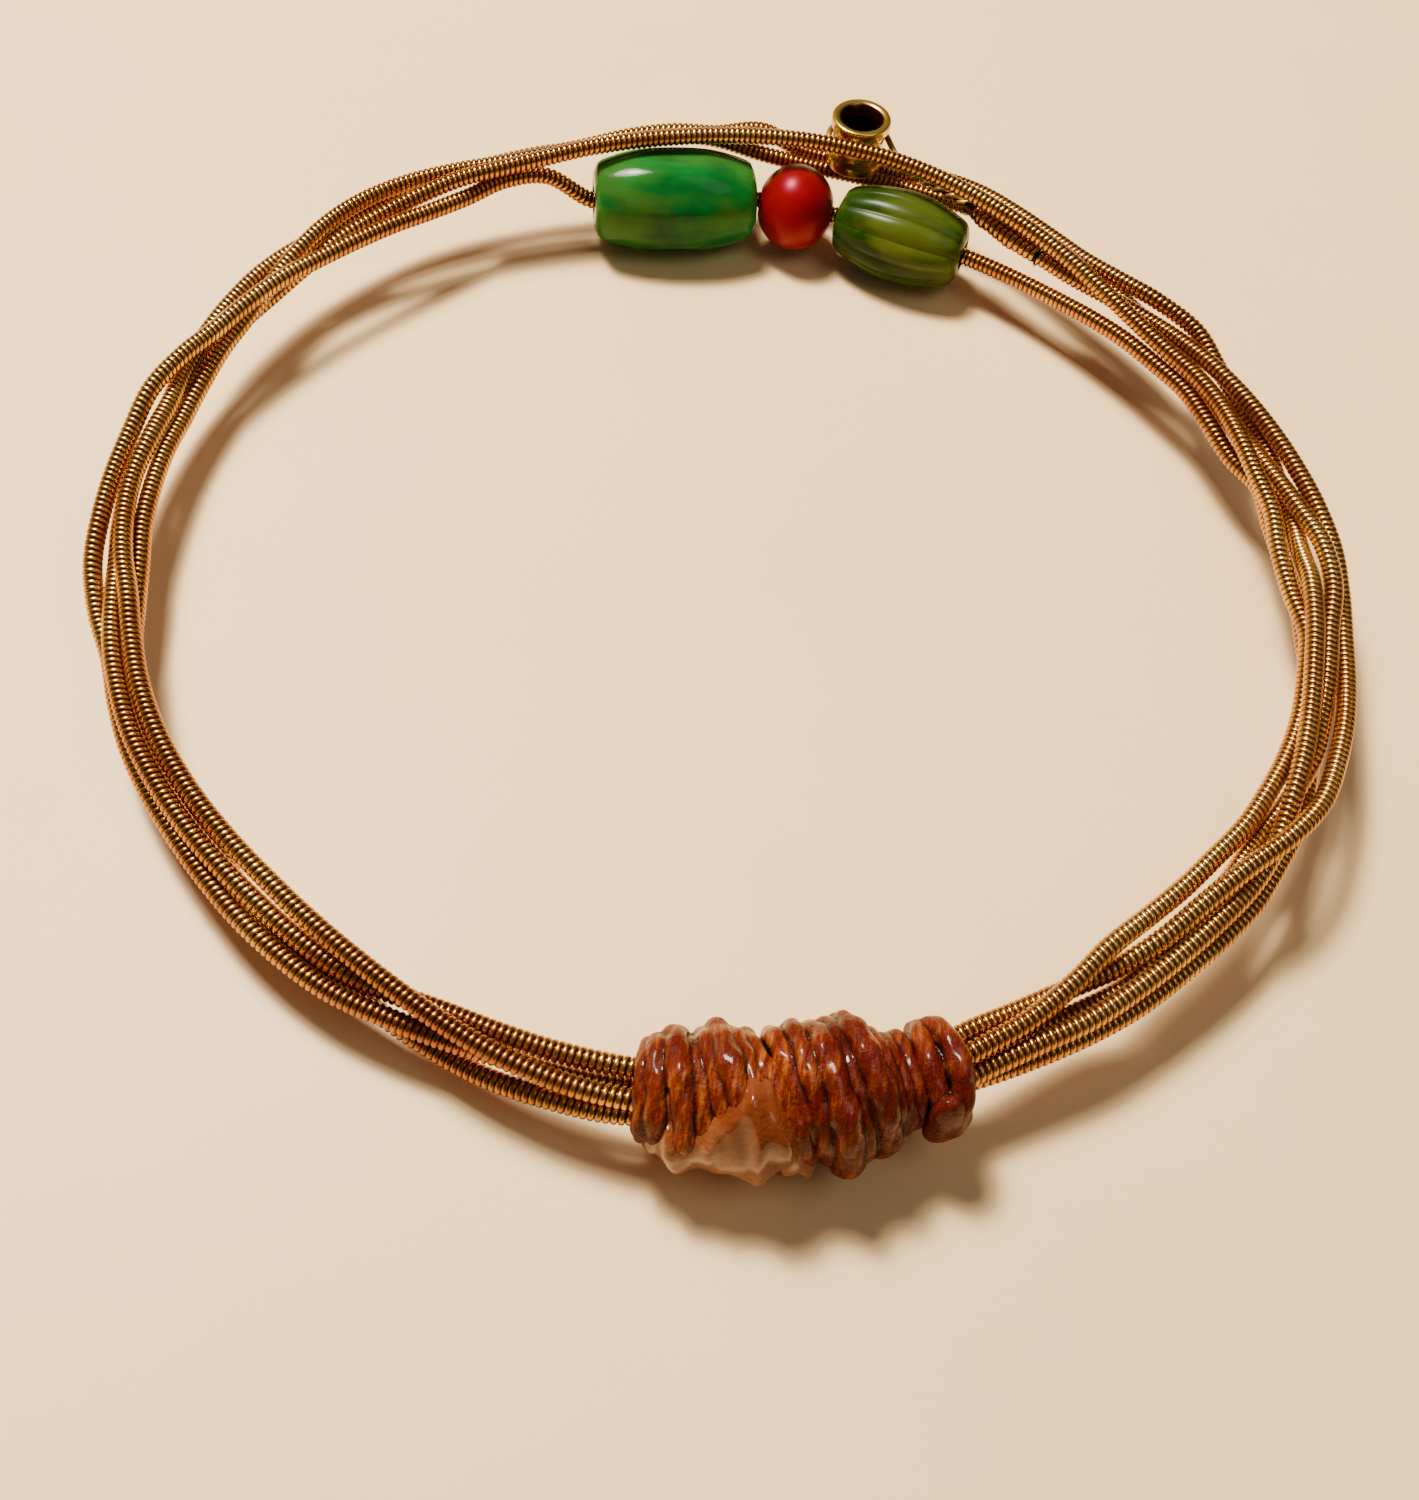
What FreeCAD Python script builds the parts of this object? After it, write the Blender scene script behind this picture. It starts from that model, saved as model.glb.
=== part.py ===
"""Bracelet made from one wound guitar string, with three beads and a corded binding.

The string is coiled into four and a half loosely twisted turns.  It starts at its own
brass ball end at the back of the ring, and the turns are bound together at the front.
Units are millimetres.  The ring lies flat: +Z is up, +Y is the bead side and -Y is the
binding side.  The origin is the middle of the opening, at the level of the surface
that the bracelet rests on.

A place around the ring is given by its bearing in degrees (0 is +X, 90 is +Y), its
distance from the middle of the ring and its height.
"""
import FreeCAD, Part
import Sketcher
import math
import os

from FreeCAD import Placement, Rotation, Vector

# Driving dimensions: alias, value, what it is.
DIMENSIONS = [
    ("string_diameter", 1.07, "outside of the winding"),
    ("winding_bore", 0.47, "inside of the winding"),
    ("core_diameter", 0.41, "steel core wire"),
    ("station_step", 5.0, "degrees between the points of a turn's route"),
    ("overwound_diameter", 1.4, "outside of the double winding beside the ball end"),
    ("overwound_bore", 0.96, "inside of the double winding"),
    ("overwound_from", 57.5, "bearing where the double winding starts"),
    ("twist_pitch", 1.7, "length of one turn of the twisted core wires"),
    ("wire_gap", 0.02, "gap between the twisted core wires"),
    ("twist_start", 1.0, "from the end of turn 1 to the start of the twist"),
    ("fork_distance", 3.0, "from the ball end's axis to where the twist divides"),
    ("knot_bearing", -77.5, "bearing of the middle of the binding"),
    ("end_gap", 0.10, "gap between turns inside the binding"),
    ("ball_bearing", 82.0, "bearing of the ball end"),
    ("ball_distance", 34.3, "distance of the ball end from the middle of the ring"),
    ("ball_base", 4.3, "height of the underside of the ball end"),
    ("ball_diameter", 3.8, "flanges of the ball end"),
    ("ball_length", 3.4, "ball end along its own axis"),
    ("ball_waist", 3.3, "diameter at the bottom of the ball end's groove"),
    ("ball_bore", 1.9, "hole through the ball end"),
    ("ball_mouth", 2.9, "mouth of the ball end's hole"),
    ("mouth_depth", 0.55, "depth of the tapered mouth of that hole"),
    ("ball_rim", 0.64, "straight side of each flange, from the ball end's face"),
    ("groove_start", 0.98, "from the ball end's face to the bottom of its groove"),
    ("ball_rounding", 0.25, "rounding of the ball end's rims"),
    ("loop_clearance", 0.03, "between the wire loop and the ball end's groove"),
    ("bead_bore", 1.7, "hole through each bead"),
    ("left_bead_sides", 8, "flat sides of the left bead"),
    ("left_bead_across", 6.3, "left bead across its flats"),
    ("left_bead_length", 10.3, "left bead along its hole"),
    ("left_bead_middle", 3.3, "largest radius of the left bead"),
    ("left_bead_end", 2.2, "radius of the left bead's ends"),
    ("cutting_reach", 1.0, "how far the cut that rounds the left bead goes past it"),
    ("red_bead_diameter", 5.4, "round bead across"),
    ("red_bead_length", 4.95, "round bead along its hole"),
    ("right_bead_length", 8.4, "right bead along its hole"),
    ("right_bead_middle", 2.9, "largest radius of the right bead"),
    ("right_bead_end", 1.85, "radius of the right bead's ends"),
    ("flute_radius", 1.1, "radius of each groove along the right bead"),
    ("flute_depth", 0.16, "depth of each groove along the right bead"),
    ("flute_count", 12, "grooves round the right bead"),
    ("cord_diameter", 1.05, "binding cord"),
    ("binding_distance", 32.4, "distance of the binding's axis from the middle"),
    ("binding_height", 3.975, "height of the binding's axis"),
    ("cord_inner_radius", 2.11, "first layer of the cord, to its centre"),
    ("cord_outer_radius", 3.2, "second layer of the cord, to its centre"),
    ("cord_pitch", 1.25, "spacing of the cord's wraps"),
    ("loop_radius", 2.42, "last loop of the cord, to its centre"),
    ("loop_lean", 14, "degrees that the last loop leans over"),
    ("glue_gap", 0.05, "between the cord and the dried glue over it"),
    ("glue_thickness", 0.2, "dried glue over the cord"),
]

# The turns' routes: (bearing, distance, height) at the places where a turn rises, dips
# or crosses another.  They are numbered along the string from the ball end.
TURN_ROUTES = {
    "string_turn_1": [
        (-77.5, 31.77, 4.73), (-66, 31.35, 4.6), (-62, 31.1, 4.4), (-55, 31.0, 4.1),
        (-48, 31.55, 4.3), (-40, 31.8, 5.3), (-35, 32.1, 5.6), (-28, 33.1, 5.8),
        (-20, 34.0, 5.7), (-13, 33.9, 5.5), (-5, 33.6, 5.1), (3, 33.5, 5.5),
        (12, 33.4, 5.9), (23, 32.8, 6.1), (31, 32.3, 6.1), (38, 32.3, 5.7),
        (45, 31.7, 5.2), (52, 30.9, 5.2), (58, 30.8, 5.3), (64, 31.3, 5.4),
        (72, 33.2, 5.5)],
    "string_turn_2": [
        (-77.5, 32.92, 4.81), (-65, 32.3, 4.85), (-58, 31.8, 5.0), (-51, 31.1, 5.1),
        (-44, 30.7, 5.1), (-38, 30.65, 5.1), (-30, 31.0, 5.1), (-24, 31.8, 5.0),
        (-18, 32.2, 4.8), (-10, 32.2, 4.7), (-3, 32.0, 5.0), (3, 31.7, 5.3),
        (10, 31.0, 5.6), (17, 30.85, 5.8), (24, 31.1, 5.8), (31, 31.2, 5.6),
        (38, 31.0, 5.4), (45, 30.75, 5.7), (51, 30.75, 6.2), (58, 30.95, 6.6),
        (64, 31.05, 6.9), (72, 31.35, 7.2), (82, 31.6, 7.25), (92, 31.3, 7.2),
        (102, 30.9, 7.1), (112, 30.9, 6.7), (120, 31.2, 6.0), (128, 31.6, 5.5),
        (134, 31.9, 5.1), (141, 32.3, 4.6), (148, 32.4, 4.0), (156, 32.5, 3.5),
        (168, 32.6, 3.2), (180, 32.7, 3.4), (190, 32.5, 3.5), (197, 32.4, 3.8),
        (204, 32.5, 4.1), (212, 32.7, 4.1), (222, 32.4, 3.9), (233, 32.1, 3.6),
        (243, 32.0, 3.3), (250, 31.6, 3.2), (257, 31.6, 3.8), (263, 31.5, 4.2),
        (270, 31.7, 4.6), (282.5, 31.77, 4.73)],
    "string_turn_3": [
        (-77.5, 31.49, 3.61), (-66, 31.7, 3.7), (-55, 31.9, 3.95), (-45, 31.9, 4.1),
        (-38, 32.0, 4.3), (-31, 32.2, 4.6), (-24, 32.3, 4.75), (-17, 32.6, 4.9),
        (-10, 32.7, 5.3), (0, 33.0, 5.6), (8, 32.8, 5.7), (14, 32.2, 5.7),
        (20, 31.5, 5.3), (24, 31.5, 4.7), (30, 31.9, 4.3), (37, 32.4, 4.3),
        (45, 32.8, 4.3), (55, 33.1, 4.4), (62, 33.6, 4.2), (70, 34.1, 3.8),
        (78, 34.0, 3.5), (83, 33.9, 3.6), (88, 33.7, 4.1), (94, 33.7, 5.0),
        (100, 33.2, 5.1), (110, 33.1, 4.9), (120, 33.4, 4.7), (132, 33.7, 4.2),
        (141, 33.5, 4.1), (148, 33.55, 4.4), (154, 33.5, 4.4), (161, 33.1, 4.2),
        (168, 32.5, 4.3), (175, 32.0, 4.7), (182, 32.2, 4.6), (190, 32.0, 4.6),
        (200, 31.6, 4.5), (210, 31.6, 4.5), (222, 31.4, 4.3), (233, 31.2, 4.2),
        (243, 31.4, 4.2), (250, 31.8, 4.3), (257, 32.4, 4.3), (263, 32.9, 4.3),
        (270, 33.2, 4.5), (282.5, 32.92, 4.81)],
    "string_turn_4": [
        (-77.5, 32.47, 3.0), (-66, 32.6, 3.0), (-55, 33.0, 3.3), (-42, 33.3, 3.8),
        (-32, 33.6, 4.1), (-24, 33.4, 4.1), (-10, 32.5, 4.1), (0, 31.8, 4.3),
        (10, 31.5, 4.5), (20, 31.5, 4.6), (27, 31.2, 4.7), (35, 30.6, 4.7),
        (46, 30.2, 4.2), (54, 30.3, 3.5), (65.4, 30.5, 2.9), (82.5, 30.35, 2.9),
        (92.3, 30.2, 3.15), (112.6, 30.25, 3.15), (117.5, 31.4, 4.85),
        (122.5, 31.7, 4.9), (128, 31.2, 4.8), (134, 30.8, 4.95), (141, 30.85, 5.1),
        (148, 31.15, 5.2), (154, 31.6, 5.3), (160, 31.9, 5.2), (168, 32.4, 5.2),
        (176, 33.0, 4.7), (184, 33.35, 4.4),
        (190, 33.3, 4.1), (197, 32.8, 3.4), (204, 32.7, 3.1), (215, 32.9, 3.0),
        (227, 32.5, 3.0), (236, 32.8, 3.1), (243, 32.6, 2.8), (250, 32.0, 2.9),
        (257, 32.1, 2.9), (263, 32.2, 3.3), (270, 32.05, 3.4), (282.5, 31.49, 3.61)],
    "string_turn_5": [
        (-77.5, 33.35, 3.74), (-66, 33.0, 3.95), (-59, 32.5, 4.2), (-50, 32.8, 4.4),
        (-40, 32.8, 4.6), (-33, 33.1, 4.8), (-27, 32.9, 5.1), (-22, 32.6, 5.7),
        (-15, 32.1, 6.0), (-7, 31.85, 6.1), (2, 31.8, 5.9), (7, 31.75, 5.3),
        (12, 32.1, 4.7), (18, 32.4, 4.9), (24, 32.1, 5.0), (30, 32.6, 5.0),
        (36, 33.1, 5.6), (40, 32.3, 6.4), (45, 32.1, 6.4), (51, 31.7, 6.1),
        (57, 32.4, 5.7), (63, 33.3, 5.4), (70, 34.6, 4.6), (76, 35.1, 3.8),
        (82, 34.9, 3.5), (86, 34.7, 3.8), (90, 34.0, 5.0), (95, 33.0, 5.9),
        (100, 32.3, 6.1), (109, 32.2, 5.9), (118, 32.3, 5.4), (124, 32.6, 5.3),
        (130, 33.2, 5.3), (137, 33.6, 5.2), (144, 33.2, 5.1), (150, 32.5, 4.7),
        (156, 32.0, 4.2), (164, 31.8, 3.9), (172, 31.7, 3.8), (180, 31.3, 3.9),
        (192, 31.3, 3.7), (200, 31.6, 3.4), (210, 32.0, 3.2), (220, 31.9, 3.0),
        (233, 32.1, 2.5), (243, 32.0, 2.2), (250, 32.3, 1.9), (257, 32.6, 2.4),
        (263, 33.2, 3.0), (270, 33.4, 3.2), (282.5, 32.47, 3.0)],
}

THREADED_TURN = "string_turn_4"      # the turn that passes through the beads
LEFT_BEAD_RUN = (92.3, 112.6)        # bearings of the corners of that turn
RED_BEAD_RUN = (82.5, 92.3)          # on each side of each bead
RIGHT_BEAD_RUN = (65.4, 82.5)
HELD_BEARINGS = (60.0, 117.0)        # where the beads hold that turn in place

CONTACT_GAP = 0.06                   # between turns that lie side by side
BEAD_GAP = 0.16                      # between a turn and a bead or the ball end
UNDER_BALL_GAP = 0.21                # between the ball end and the turns under it
TABLE_GAP = 0.15                     # between the lowest turn and the surface below
CORD_GAP = 0.07                      # between the turns and the cord round them
BINDING_REACH = 12.6                 # degrees from the binding's middle to its ends
BALL_REACH = 6.0                     # degrees beside the ball end that are kept clear
BALL_RIM_REACH = 5.0                 # degrees from its middle to outside its rim
RIM_LIFT = 0.25                      # how much higher a turn can be outside the rim

SWEEPS = 240                         # rounds of spacing the turns out
EASED_SWEEPS = 180                   # rounds in which they are also eased
STRAIGHTENING = 0.05                 # share of the way to straight, each round
RETURNING = 0.12                     # share of the way back to the route
PUSHING = 0.6                        # share of an overlap that each turn gives way
CORNER_MARGIN = 2.0                  # degrees beyond the beads with no other corner
ARC_SHARE = 0.45                     # share of a straight run taken by a corner's arc
STRAIGHT_ENOUGH = 1e-4               # radians of turn that need no arc
VOLUME_TOLERANCE = 0.01              # how near a tube is to its expected volume
CORNERS_PER_WRAP = 12                # of the cord and of the twisted core wires
LOOP_CORNERS = 14                    # of the core wire round the ball end

LEFT_WRAPS = (-90.2, -81.6)          # bearings covered by each block of cord
RIGHT_WRAPS = (-68.4, -79.6)
LAST_LOOP = -65.9                    # bearing of the last, larger loop of the cord
GLUE_SPAN = (-91.2, -78.6)           # bearings covered by the dried glue
GLUE_EDGES = (-150.0, 50.0)          # degrees round the binding, 0 being outward


def ring_point(bearing, distance, height):
    """The point at a bearing, distance and height around the ring."""
    angle = math.radians(bearing)
    return Vector(distance * math.cos(angle), distance * math.sin(angle), height)


def smooth_value(stations, bearing):
    """Distance and height on a smooth line through a route's places."""
    index = 0
    while index < len(stations) - 2 and stations[index + 1][0] < bearing:
        index += 1
    before = stations[max(index - 1, 0)]
    start = stations[index]
    end = stations[index + 1]
    after = stations[min(index + 2, len(stations) - 1)]
    span = end[0] - start[0]
    part = (bearing - start[0]) / span
    result = []
    for axis in (1, 2):
        slope_start = (end[axis] - before[axis]) / (end[0] - before[0]) * span
        slope_end = (after[axis] - start[axis]) / (after[0] - start[0]) * span
        result.append(
            (2 * part ** 3 - 3 * part ** 2 + 1) * start[axis]
            + (part ** 3 - 2 * part ** 2 + part) * slope_start
            + (3 * part ** 2 - 2 * part ** 3) * end[axis]
            + (part ** 3 - part ** 2) * slope_end)
    return result


def bead_reach(bearing):
    """Radius of the bead at a bearing, or zero between and beyond the beads."""
    for run, middle, end in (
            (LEFT_BEAD_RUN, size.left_bead_middle, size.left_bead_end),
            (RED_BEAD_RUN, size.red_bead_diameter / 2, size.bead_bore / 2),
            (RIGHT_BEAD_RUN, size.right_bead_middle, size.right_bead_end)):
        along = 2 * (bearing - run[0]) / (run[1] - run[0]) - 1
        if abs(along) < 1:
            return end + (middle - end) * (1 - along ** 2)
    return 0.0


def turn_reach(name, bearing):
    """Radius of whatever fills the space round a turn's centre line."""
    if name == THREADED_TURN and bead_reach(bearing):
        return bead_reach(bearing) + BEAD_GAP - CONTACT_GAP
    if name == "string_turn_1" and bearing >= size.overwound_from:
        return size.overwound_diameter / 2
    return size.string_diameter / 2


def settle_turns():
    """Space the turns out so that each rests against its neighbours.

    Returns, for each turn, a list of [bearing, distance, height] one step apart.
    """
    turns = {}
    for name, stations in TURN_ROUTES.items():
        count = int((stations[-1][0] - stations[0][0]) / size.station_step)
        turns[name] = []
        for index in range(count + 1):
            bearing = stations[0][0] + index * size.station_step
            turns[name].append([bearing] + smooth_value(stations, bearing))
    aims = {name: [place[:] for place in places] for name, places in turns.items()}
    names = list(turns)
    for sweep in range(SWEEPS):
        if sweep < EASED_SWEEPS:
            for name in names:
                relax(turns[name], aims[name])
        for first in range(len(names)):
            for second in range(first + 1, len(names)):
                push_apart(turns, names[first], names[second], 0.0)
                push_apart(turns, names[first], names[second], 0.5)
        for name in names:
            for place in turns[name][1:-1]:
                keep_clear(name, place)
    return turns


def relax(places, aims):
    """Ease each place towards its aim and towards the line between its neighbours."""
    for index in range(1, len(places) - 1):
        for axis in (1, 2):
            middle = 0.5 * (places[index - 1][axis] + places[index + 1][axis])
            places[index][axis] += STRAIGHTENING * (middle - places[index][axis])
            places[index][axis] += RETURNING * (aims[index][axis] - places[index][axis])


def is_held(name, bearing):
    """Whether the beads hold a turn in place at a bearing."""
    return name == THREADED_TURN and HELD_BEARINGS[0] < bearing < HELD_BEARINGS[1]


def push_apart(turns, first, second, part):
    """Move two turns apart wherever they are closer than they can be.

    Part is how far between one place and the next the spacing is measured.
    """
    count = min(len(turns[first]), len(turns[second]))
    for index in range(count - 1):
        one = turns[first][index:index + 2]
        other = turns[second][index:index + 2]
        bearing = one[0][0] + part * size.station_step
        across, up = [
            (1 - part) * (other[0][axis] - one[0][axis]) + part * (other[1][axis] - one[1][axis])
            for axis in (1, 2)]
        least = turn_reach(first, bearing) + turn_reach(second, bearing) + CONTACT_GAP
        spacing = math.hypot(across, up)
        if spacing >= least:
            continue
        push = (least - spacing) / spacing
        for places, name, sign in ((one, first, -1), (other, second, 1)):
            if is_held(name, bearing):
                continue
            weights = (1.0,) if part == 0 else (0.5, 0.5)
            for place, weight in zip(places, weights):
                if place[0] in (TURN_ROUTES[name][0][0], TURN_ROUTES[name][-1][0]):
                    continue
                place[1] += sign * weight * push * across * PUSHING
                place[2] += sign * weight * push * up * PUSHING


def keep_clear(name, place):
    """Keep a place above the table, inside the binding and off the ball end."""
    radius = size.string_diameter / 2
    place[2] = max(place[2], radius + TABLE_GAP)
    if abs((place[0] - size.knot_bearing + 180) % 360 - 180) < BINDING_REACH:
        across = place[1] - size.binding_distance
        up = place[2] - size.binding_height
        room = size.cord_inner_radius - size.cord_diameter / 2 - radius - CORD_GAP
        spacing = math.hypot(across, up)
        if spacing > room:
            place[1] = size.binding_distance + across * room / spacing
            place[2] = size.binding_height + up * room / spacing
    from_ball = abs(place[0] - size.ball_bearing)
    if from_ball < BALL_REACH and name in ("string_turn_3", "string_turn_5"):
        lift = RIM_LIFT if from_ball > BALL_RIM_REACH else 0.0
        place[2] = min(place[2], size.ball_base - radius - UNDER_BALL_GAP + lift)
    if from_ball < BALL_REACH and name == "string_turn_2":
        inside = (size.ball_distance - size.ball_waist / 2 - size.loop_clearance
                  - size.core_diameter)
        place[1] = min(place[1], inside - radius - BEAD_GAP)


def turn_points(name, turns):
    """The corners of a turn's route, with straight runs where it is threaded."""
    places = turns[name]
    if name == THREADED_TURN:
        corners = sorted(set(LEFT_BEAD_RUN + RED_BEAD_RUN + RIGHT_BEAD_RUN))
        before = [place for place in places if place[0] < corners[0] - CORNER_MARGIN]
        after = [place for place in places if place[0] > corners[-1] + CORNER_MARGIN]
        places = before + [bead_corner(bearing) for bearing in corners] + after
    points = [ring_point(*place) for place in places]
    if name == "string_turn_1":
        points = points[:1 + int((size.overwound_from - places[0][0]) / size.station_step)]
    for end, neighbour in ((0, 1), (-1, -2)):
        inward = (points[neighbour] - points[end]).normalize()
        points[end] = points[end] + inward * (size.end_gap / 2)
    return points


def bead_corner(bearing):
    """The threaded turn's own place at a bearing, before the turns are settled."""
    return [bearing] + smooth_value(TURN_ROUTES[THREADED_TURN], bearing)


def rounded_path(points):
    """Straight runs through the points, joined by tangent arcs."""
    edges = []
    start = points[0]
    for index in range(1, len(points) - 1):
        corner = points[index]
        back = points[index - 1] - corner
        ahead = points[index + 1] - corner
        reach = ARC_SHARE * min(back.Length, ahead.Length)
        back.normalize()
        ahead.normalize()
        turn = math.pi - back.getAngle(ahead)
        if turn < STRAIGHT_ENOUGH:
            continue
        radius = reach / math.tan(turn / 2)
        arc_start = corner + back * reach
        arc_end = corner + ahead * reach
        inward = (back + ahead).normalize()
        rise = radius / math.cos(turn / 2) - radius
        edges.append(Part.LineSegment(start, arc_start).toShape())
        edges.append(Part.Arc(arc_start, corner + inward * rise, arc_end).toShape())
        start = arc_end
    edges.append(Part.LineSegment(start, points[-1]).toShape())
    return Part.Wire(edges)


def tube(points, outer, bore=0.0):
    """A solid or hollow round tube along the rounded path through some points."""
    path = rounded_path(points)
    start = points[0]
    heading = points[1] - points[0]
    solids = []
    for diameter in (outer, bore):
        if diameter:
            rim = Part.Wire(Part.makeCircle(diameter / 2, start, heading))
            solids.append(path.makePipeShell([rim], True, False))
    result = solids[0].cut(solids[1]).Solids[0] if bore else solids[0]
    section = math.pi * (outer ** 2 - bore ** 2) / 4
    if abs(result.Volume / (section * path.Length) - 1) > VOLUME_TOLERANCE:
        raise RuntimeError("a tube's volume differs from its section times its length")
    return result


def twisted_loop(turns):
    """Corners of the core wire: up one strand of the twist, round the ball, and back."""
    wire = size.core_diameter
    middle = ball_middle()
    centres = [ring_point(*place) for place in turns["string_turn_1"]]
    centres = centres[int((size.overwound_from - size.knot_bearing) / size.station_step):]
    centres[0] = centres[0] + (centres[1] - centres[0]).normalize() * size.twist_start
    away = (centres[-1] - middle).normalize()
    fork = middle + away * size.fork_distance
    centres.append(fork)
    lengths = [(b - a).Length for a, b in zip(centres, centres[1:])]
    total = sum(lengths)
    turn_count = round(total / size.twist_pitch)
    steps = turn_count * CORNERS_PER_WRAP
    offset = (wire + size.wire_gap) / 2
    strands = ([], [])
    for step in range(steps + 1):
        left = total * step / steps
        index = 0
        while index < len(lengths) - 1 and left > lengths[index]:
            left -= lengths[index]
            index += 1
        heading = (centres[index + 1] - centres[index]).normalize()
        centre = centres[index] + heading * left
        side = heading.cross(Vector(0, 0, 1)).normalize()
        rise = side.cross(heading)
        angle = 2 * math.pi * turn_count * step / steps
        swing = side * math.cos(angle) + rise * math.sin(angle)
        strands[0].append(centre + swing * offset)
        strands[1].append(centre - swing * offset)
    level = Vector(away.x, away.y, 0).normalize()
    across = Vector(away.y, -away.x, 0).normalize()
    if (strands[0][-1] - fork).dot(across) < 0:
        across = across * -1
    loop_radius = size.ball_waist / 2 + size.loop_clearance + wire / 2
    opening = math.acos(loop_radius / size.fork_distance)
    corner_radius = loop_radius / math.cos(math.pi / LOOP_CORNERS)
    loop = []
    for step in range(LOOP_CORNERS + 1):
        angle = opening + (2 * math.pi - 2 * opening) * step / LOOP_CORNERS
        loop.append(middle + level * (corner_radius * math.cos(angle))
                    + across * (corner_radius * math.sin(angle)))
    return strands[0] + loop + strands[1][::-1]


def ball_middle():
    """The middle of the ball end."""
    height = size.ball_base + size.ball_length / 2
    return ring_point(size.ball_bearing, size.ball_distance, height)


def binding_point(bearing, radius, angle):
    """A point round the binding's axis; angle 0 is outward and 90 is up."""
    turn = math.radians(angle)
    distance = size.binding_distance + radius * math.cos(turn)
    height = size.binding_height + radius * math.sin(turn)
    return ring_point(bearing, distance, height)


def wrapped_cord(span, first_angle, missing_wraps):
    """Corners of a cord wound along a span of the bundle and back over itself.

    The second layer stops some wraps short of where the first layer began.
    """
    degrees_per_wrap = math.degrees(size.cord_pitch / size.binding_distance)
    wraps = int(abs(span[1] - span[0]) / degrees_per_wrap)
    degrees_per_wrap = math.copysign(degrees_per_wrap, span[1] - span[0])
    points = []
    corner_scale = 1 / math.cos(math.pi / CORNERS_PER_WRAP)
    for step in range((2 * wraps + 1 - missing_wraps) * CORNERS_PER_WRAP + 1):
        wrap = step / CORNERS_PER_WRAP
        if wrap <= wraps:
            along = wrap
            radius = size.cord_inner_radius
        elif wrap <= wraps + 1:
            part = wrap - wraps
            along = wraps + 0.5 * math.sin(math.pi * part)
            growth = size.cord_outer_radius - size.cord_inner_radius
            radius = size.cord_inner_radius + growth * part
        else:
            along = 2 * wraps + 1 - wrap
            radius = size.cord_outer_radius
        bearing = span[0] + along * degrees_per_wrap
        points.append(
            binding_point(bearing, radius * corner_scale, first_angle + 360 * wrap))
    return points


def last_loop():
    """A leaning round loop of cord at the end of the binding."""
    centre = binding_point(LAST_LOOP, 0, 0)
    outward = ring_point(LAST_LOOP, 1, 0)
    along = ring_point(LAST_LOOP + 90, 1, 0)
    lean = math.radians(size.loop_lean)
    normal = along * math.cos(lean) + outward * math.sin(lean)
    return Part.makeTorus(size.loop_radius, size.cord_diameter / 2, centre, normal)


def glue_skin():
    """The skin of dried glue over the lower and outer side of the left wraps."""
    inner = size.cord_outer_radius + size.cord_diameter / 2 + size.glue_gap
    outer = inner + size.glue_thickness
    arcs = []
    for radius in (inner, outer):
        corners = [binding_point(GLUE_SPAN[0], radius, angle) for angle in
                   (GLUE_EDGES[0], sum(GLUE_EDGES) / 2, GLUE_EDGES[1])]
        arcs.append(Part.Arc(*corners).toShape())
    sides = []
    for angle in GLUE_EDGES:
        ends = [binding_point(GLUE_SPAN[0], radius, angle) for radius in (inner, outer)]
        sides.append(Part.LineSegment(*ends).toShape())
    section = Part.Face(Part.Wire(Part.__sortEdges__(arcs + sides)))
    turn = GLUE_SPAN[1] - GLUE_SPAN[0]
    return section.revolve(Vector(0, 0, 0), Vector(0, 0, 1), turn).Solids[0]


# The document and its sheet of dimensions.
document = FreeCAD.newDocument("StringBracelet")
sheet = document.addObject("Spreadsheet::Sheet", "Dimensions")
for row, (alias, value, note) in enumerate(DIMENSIONS, start=1):
    sheet.set("A%d" % row, note)
    sheet.set("B%d" % row, str(value))
    sheet.setAlias("B%d" % row, alias)
document.recompute()


class Sizes:
    """The values of the sheet's cells, by alias."""


size = Sizes()
for alias, value, note in DIMENSIONS:
    setattr(size, alias, float(sheet.get(alias)))


def add_shape(name, shape, placement=Placement()):
    """Add a sub-part whose shape is made directly."""
    feature = document.addObject("Part::Feature", name)
    feature.Label = name
    feature.Shape = shape
    feature.Placement = placement
    return feature


def bind(feature, **expressions):
    """Bind a feature's sizes to cells of the sheet."""
    for prop, expression in expressions.items():
        feature.setExpression(prop, expression)


def new_body(name):
    """Add an empty body that carries its own name."""
    body = document.addObject("PartDesign::Body", name)
    body.Label = name
    return body


def origin_plane(body, role):
    """One of the three planes of a body's origin."""
    for feature in body.Origin.OriginFeatures:
        if feature.Role == role:
            return feature
    raise RuntimeError("no origin plane " + role)


def cell_value(expression):
    """The value of a small sum or quotient of cells, such as "a / 2" or "a - b"."""
    probe = document.getObject("Dimensions")
    probe.set("D1", "=" + expression)
    document.recompute()
    value = float(probe.get("D1"))
    probe.clear("D1")
    return value


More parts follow.
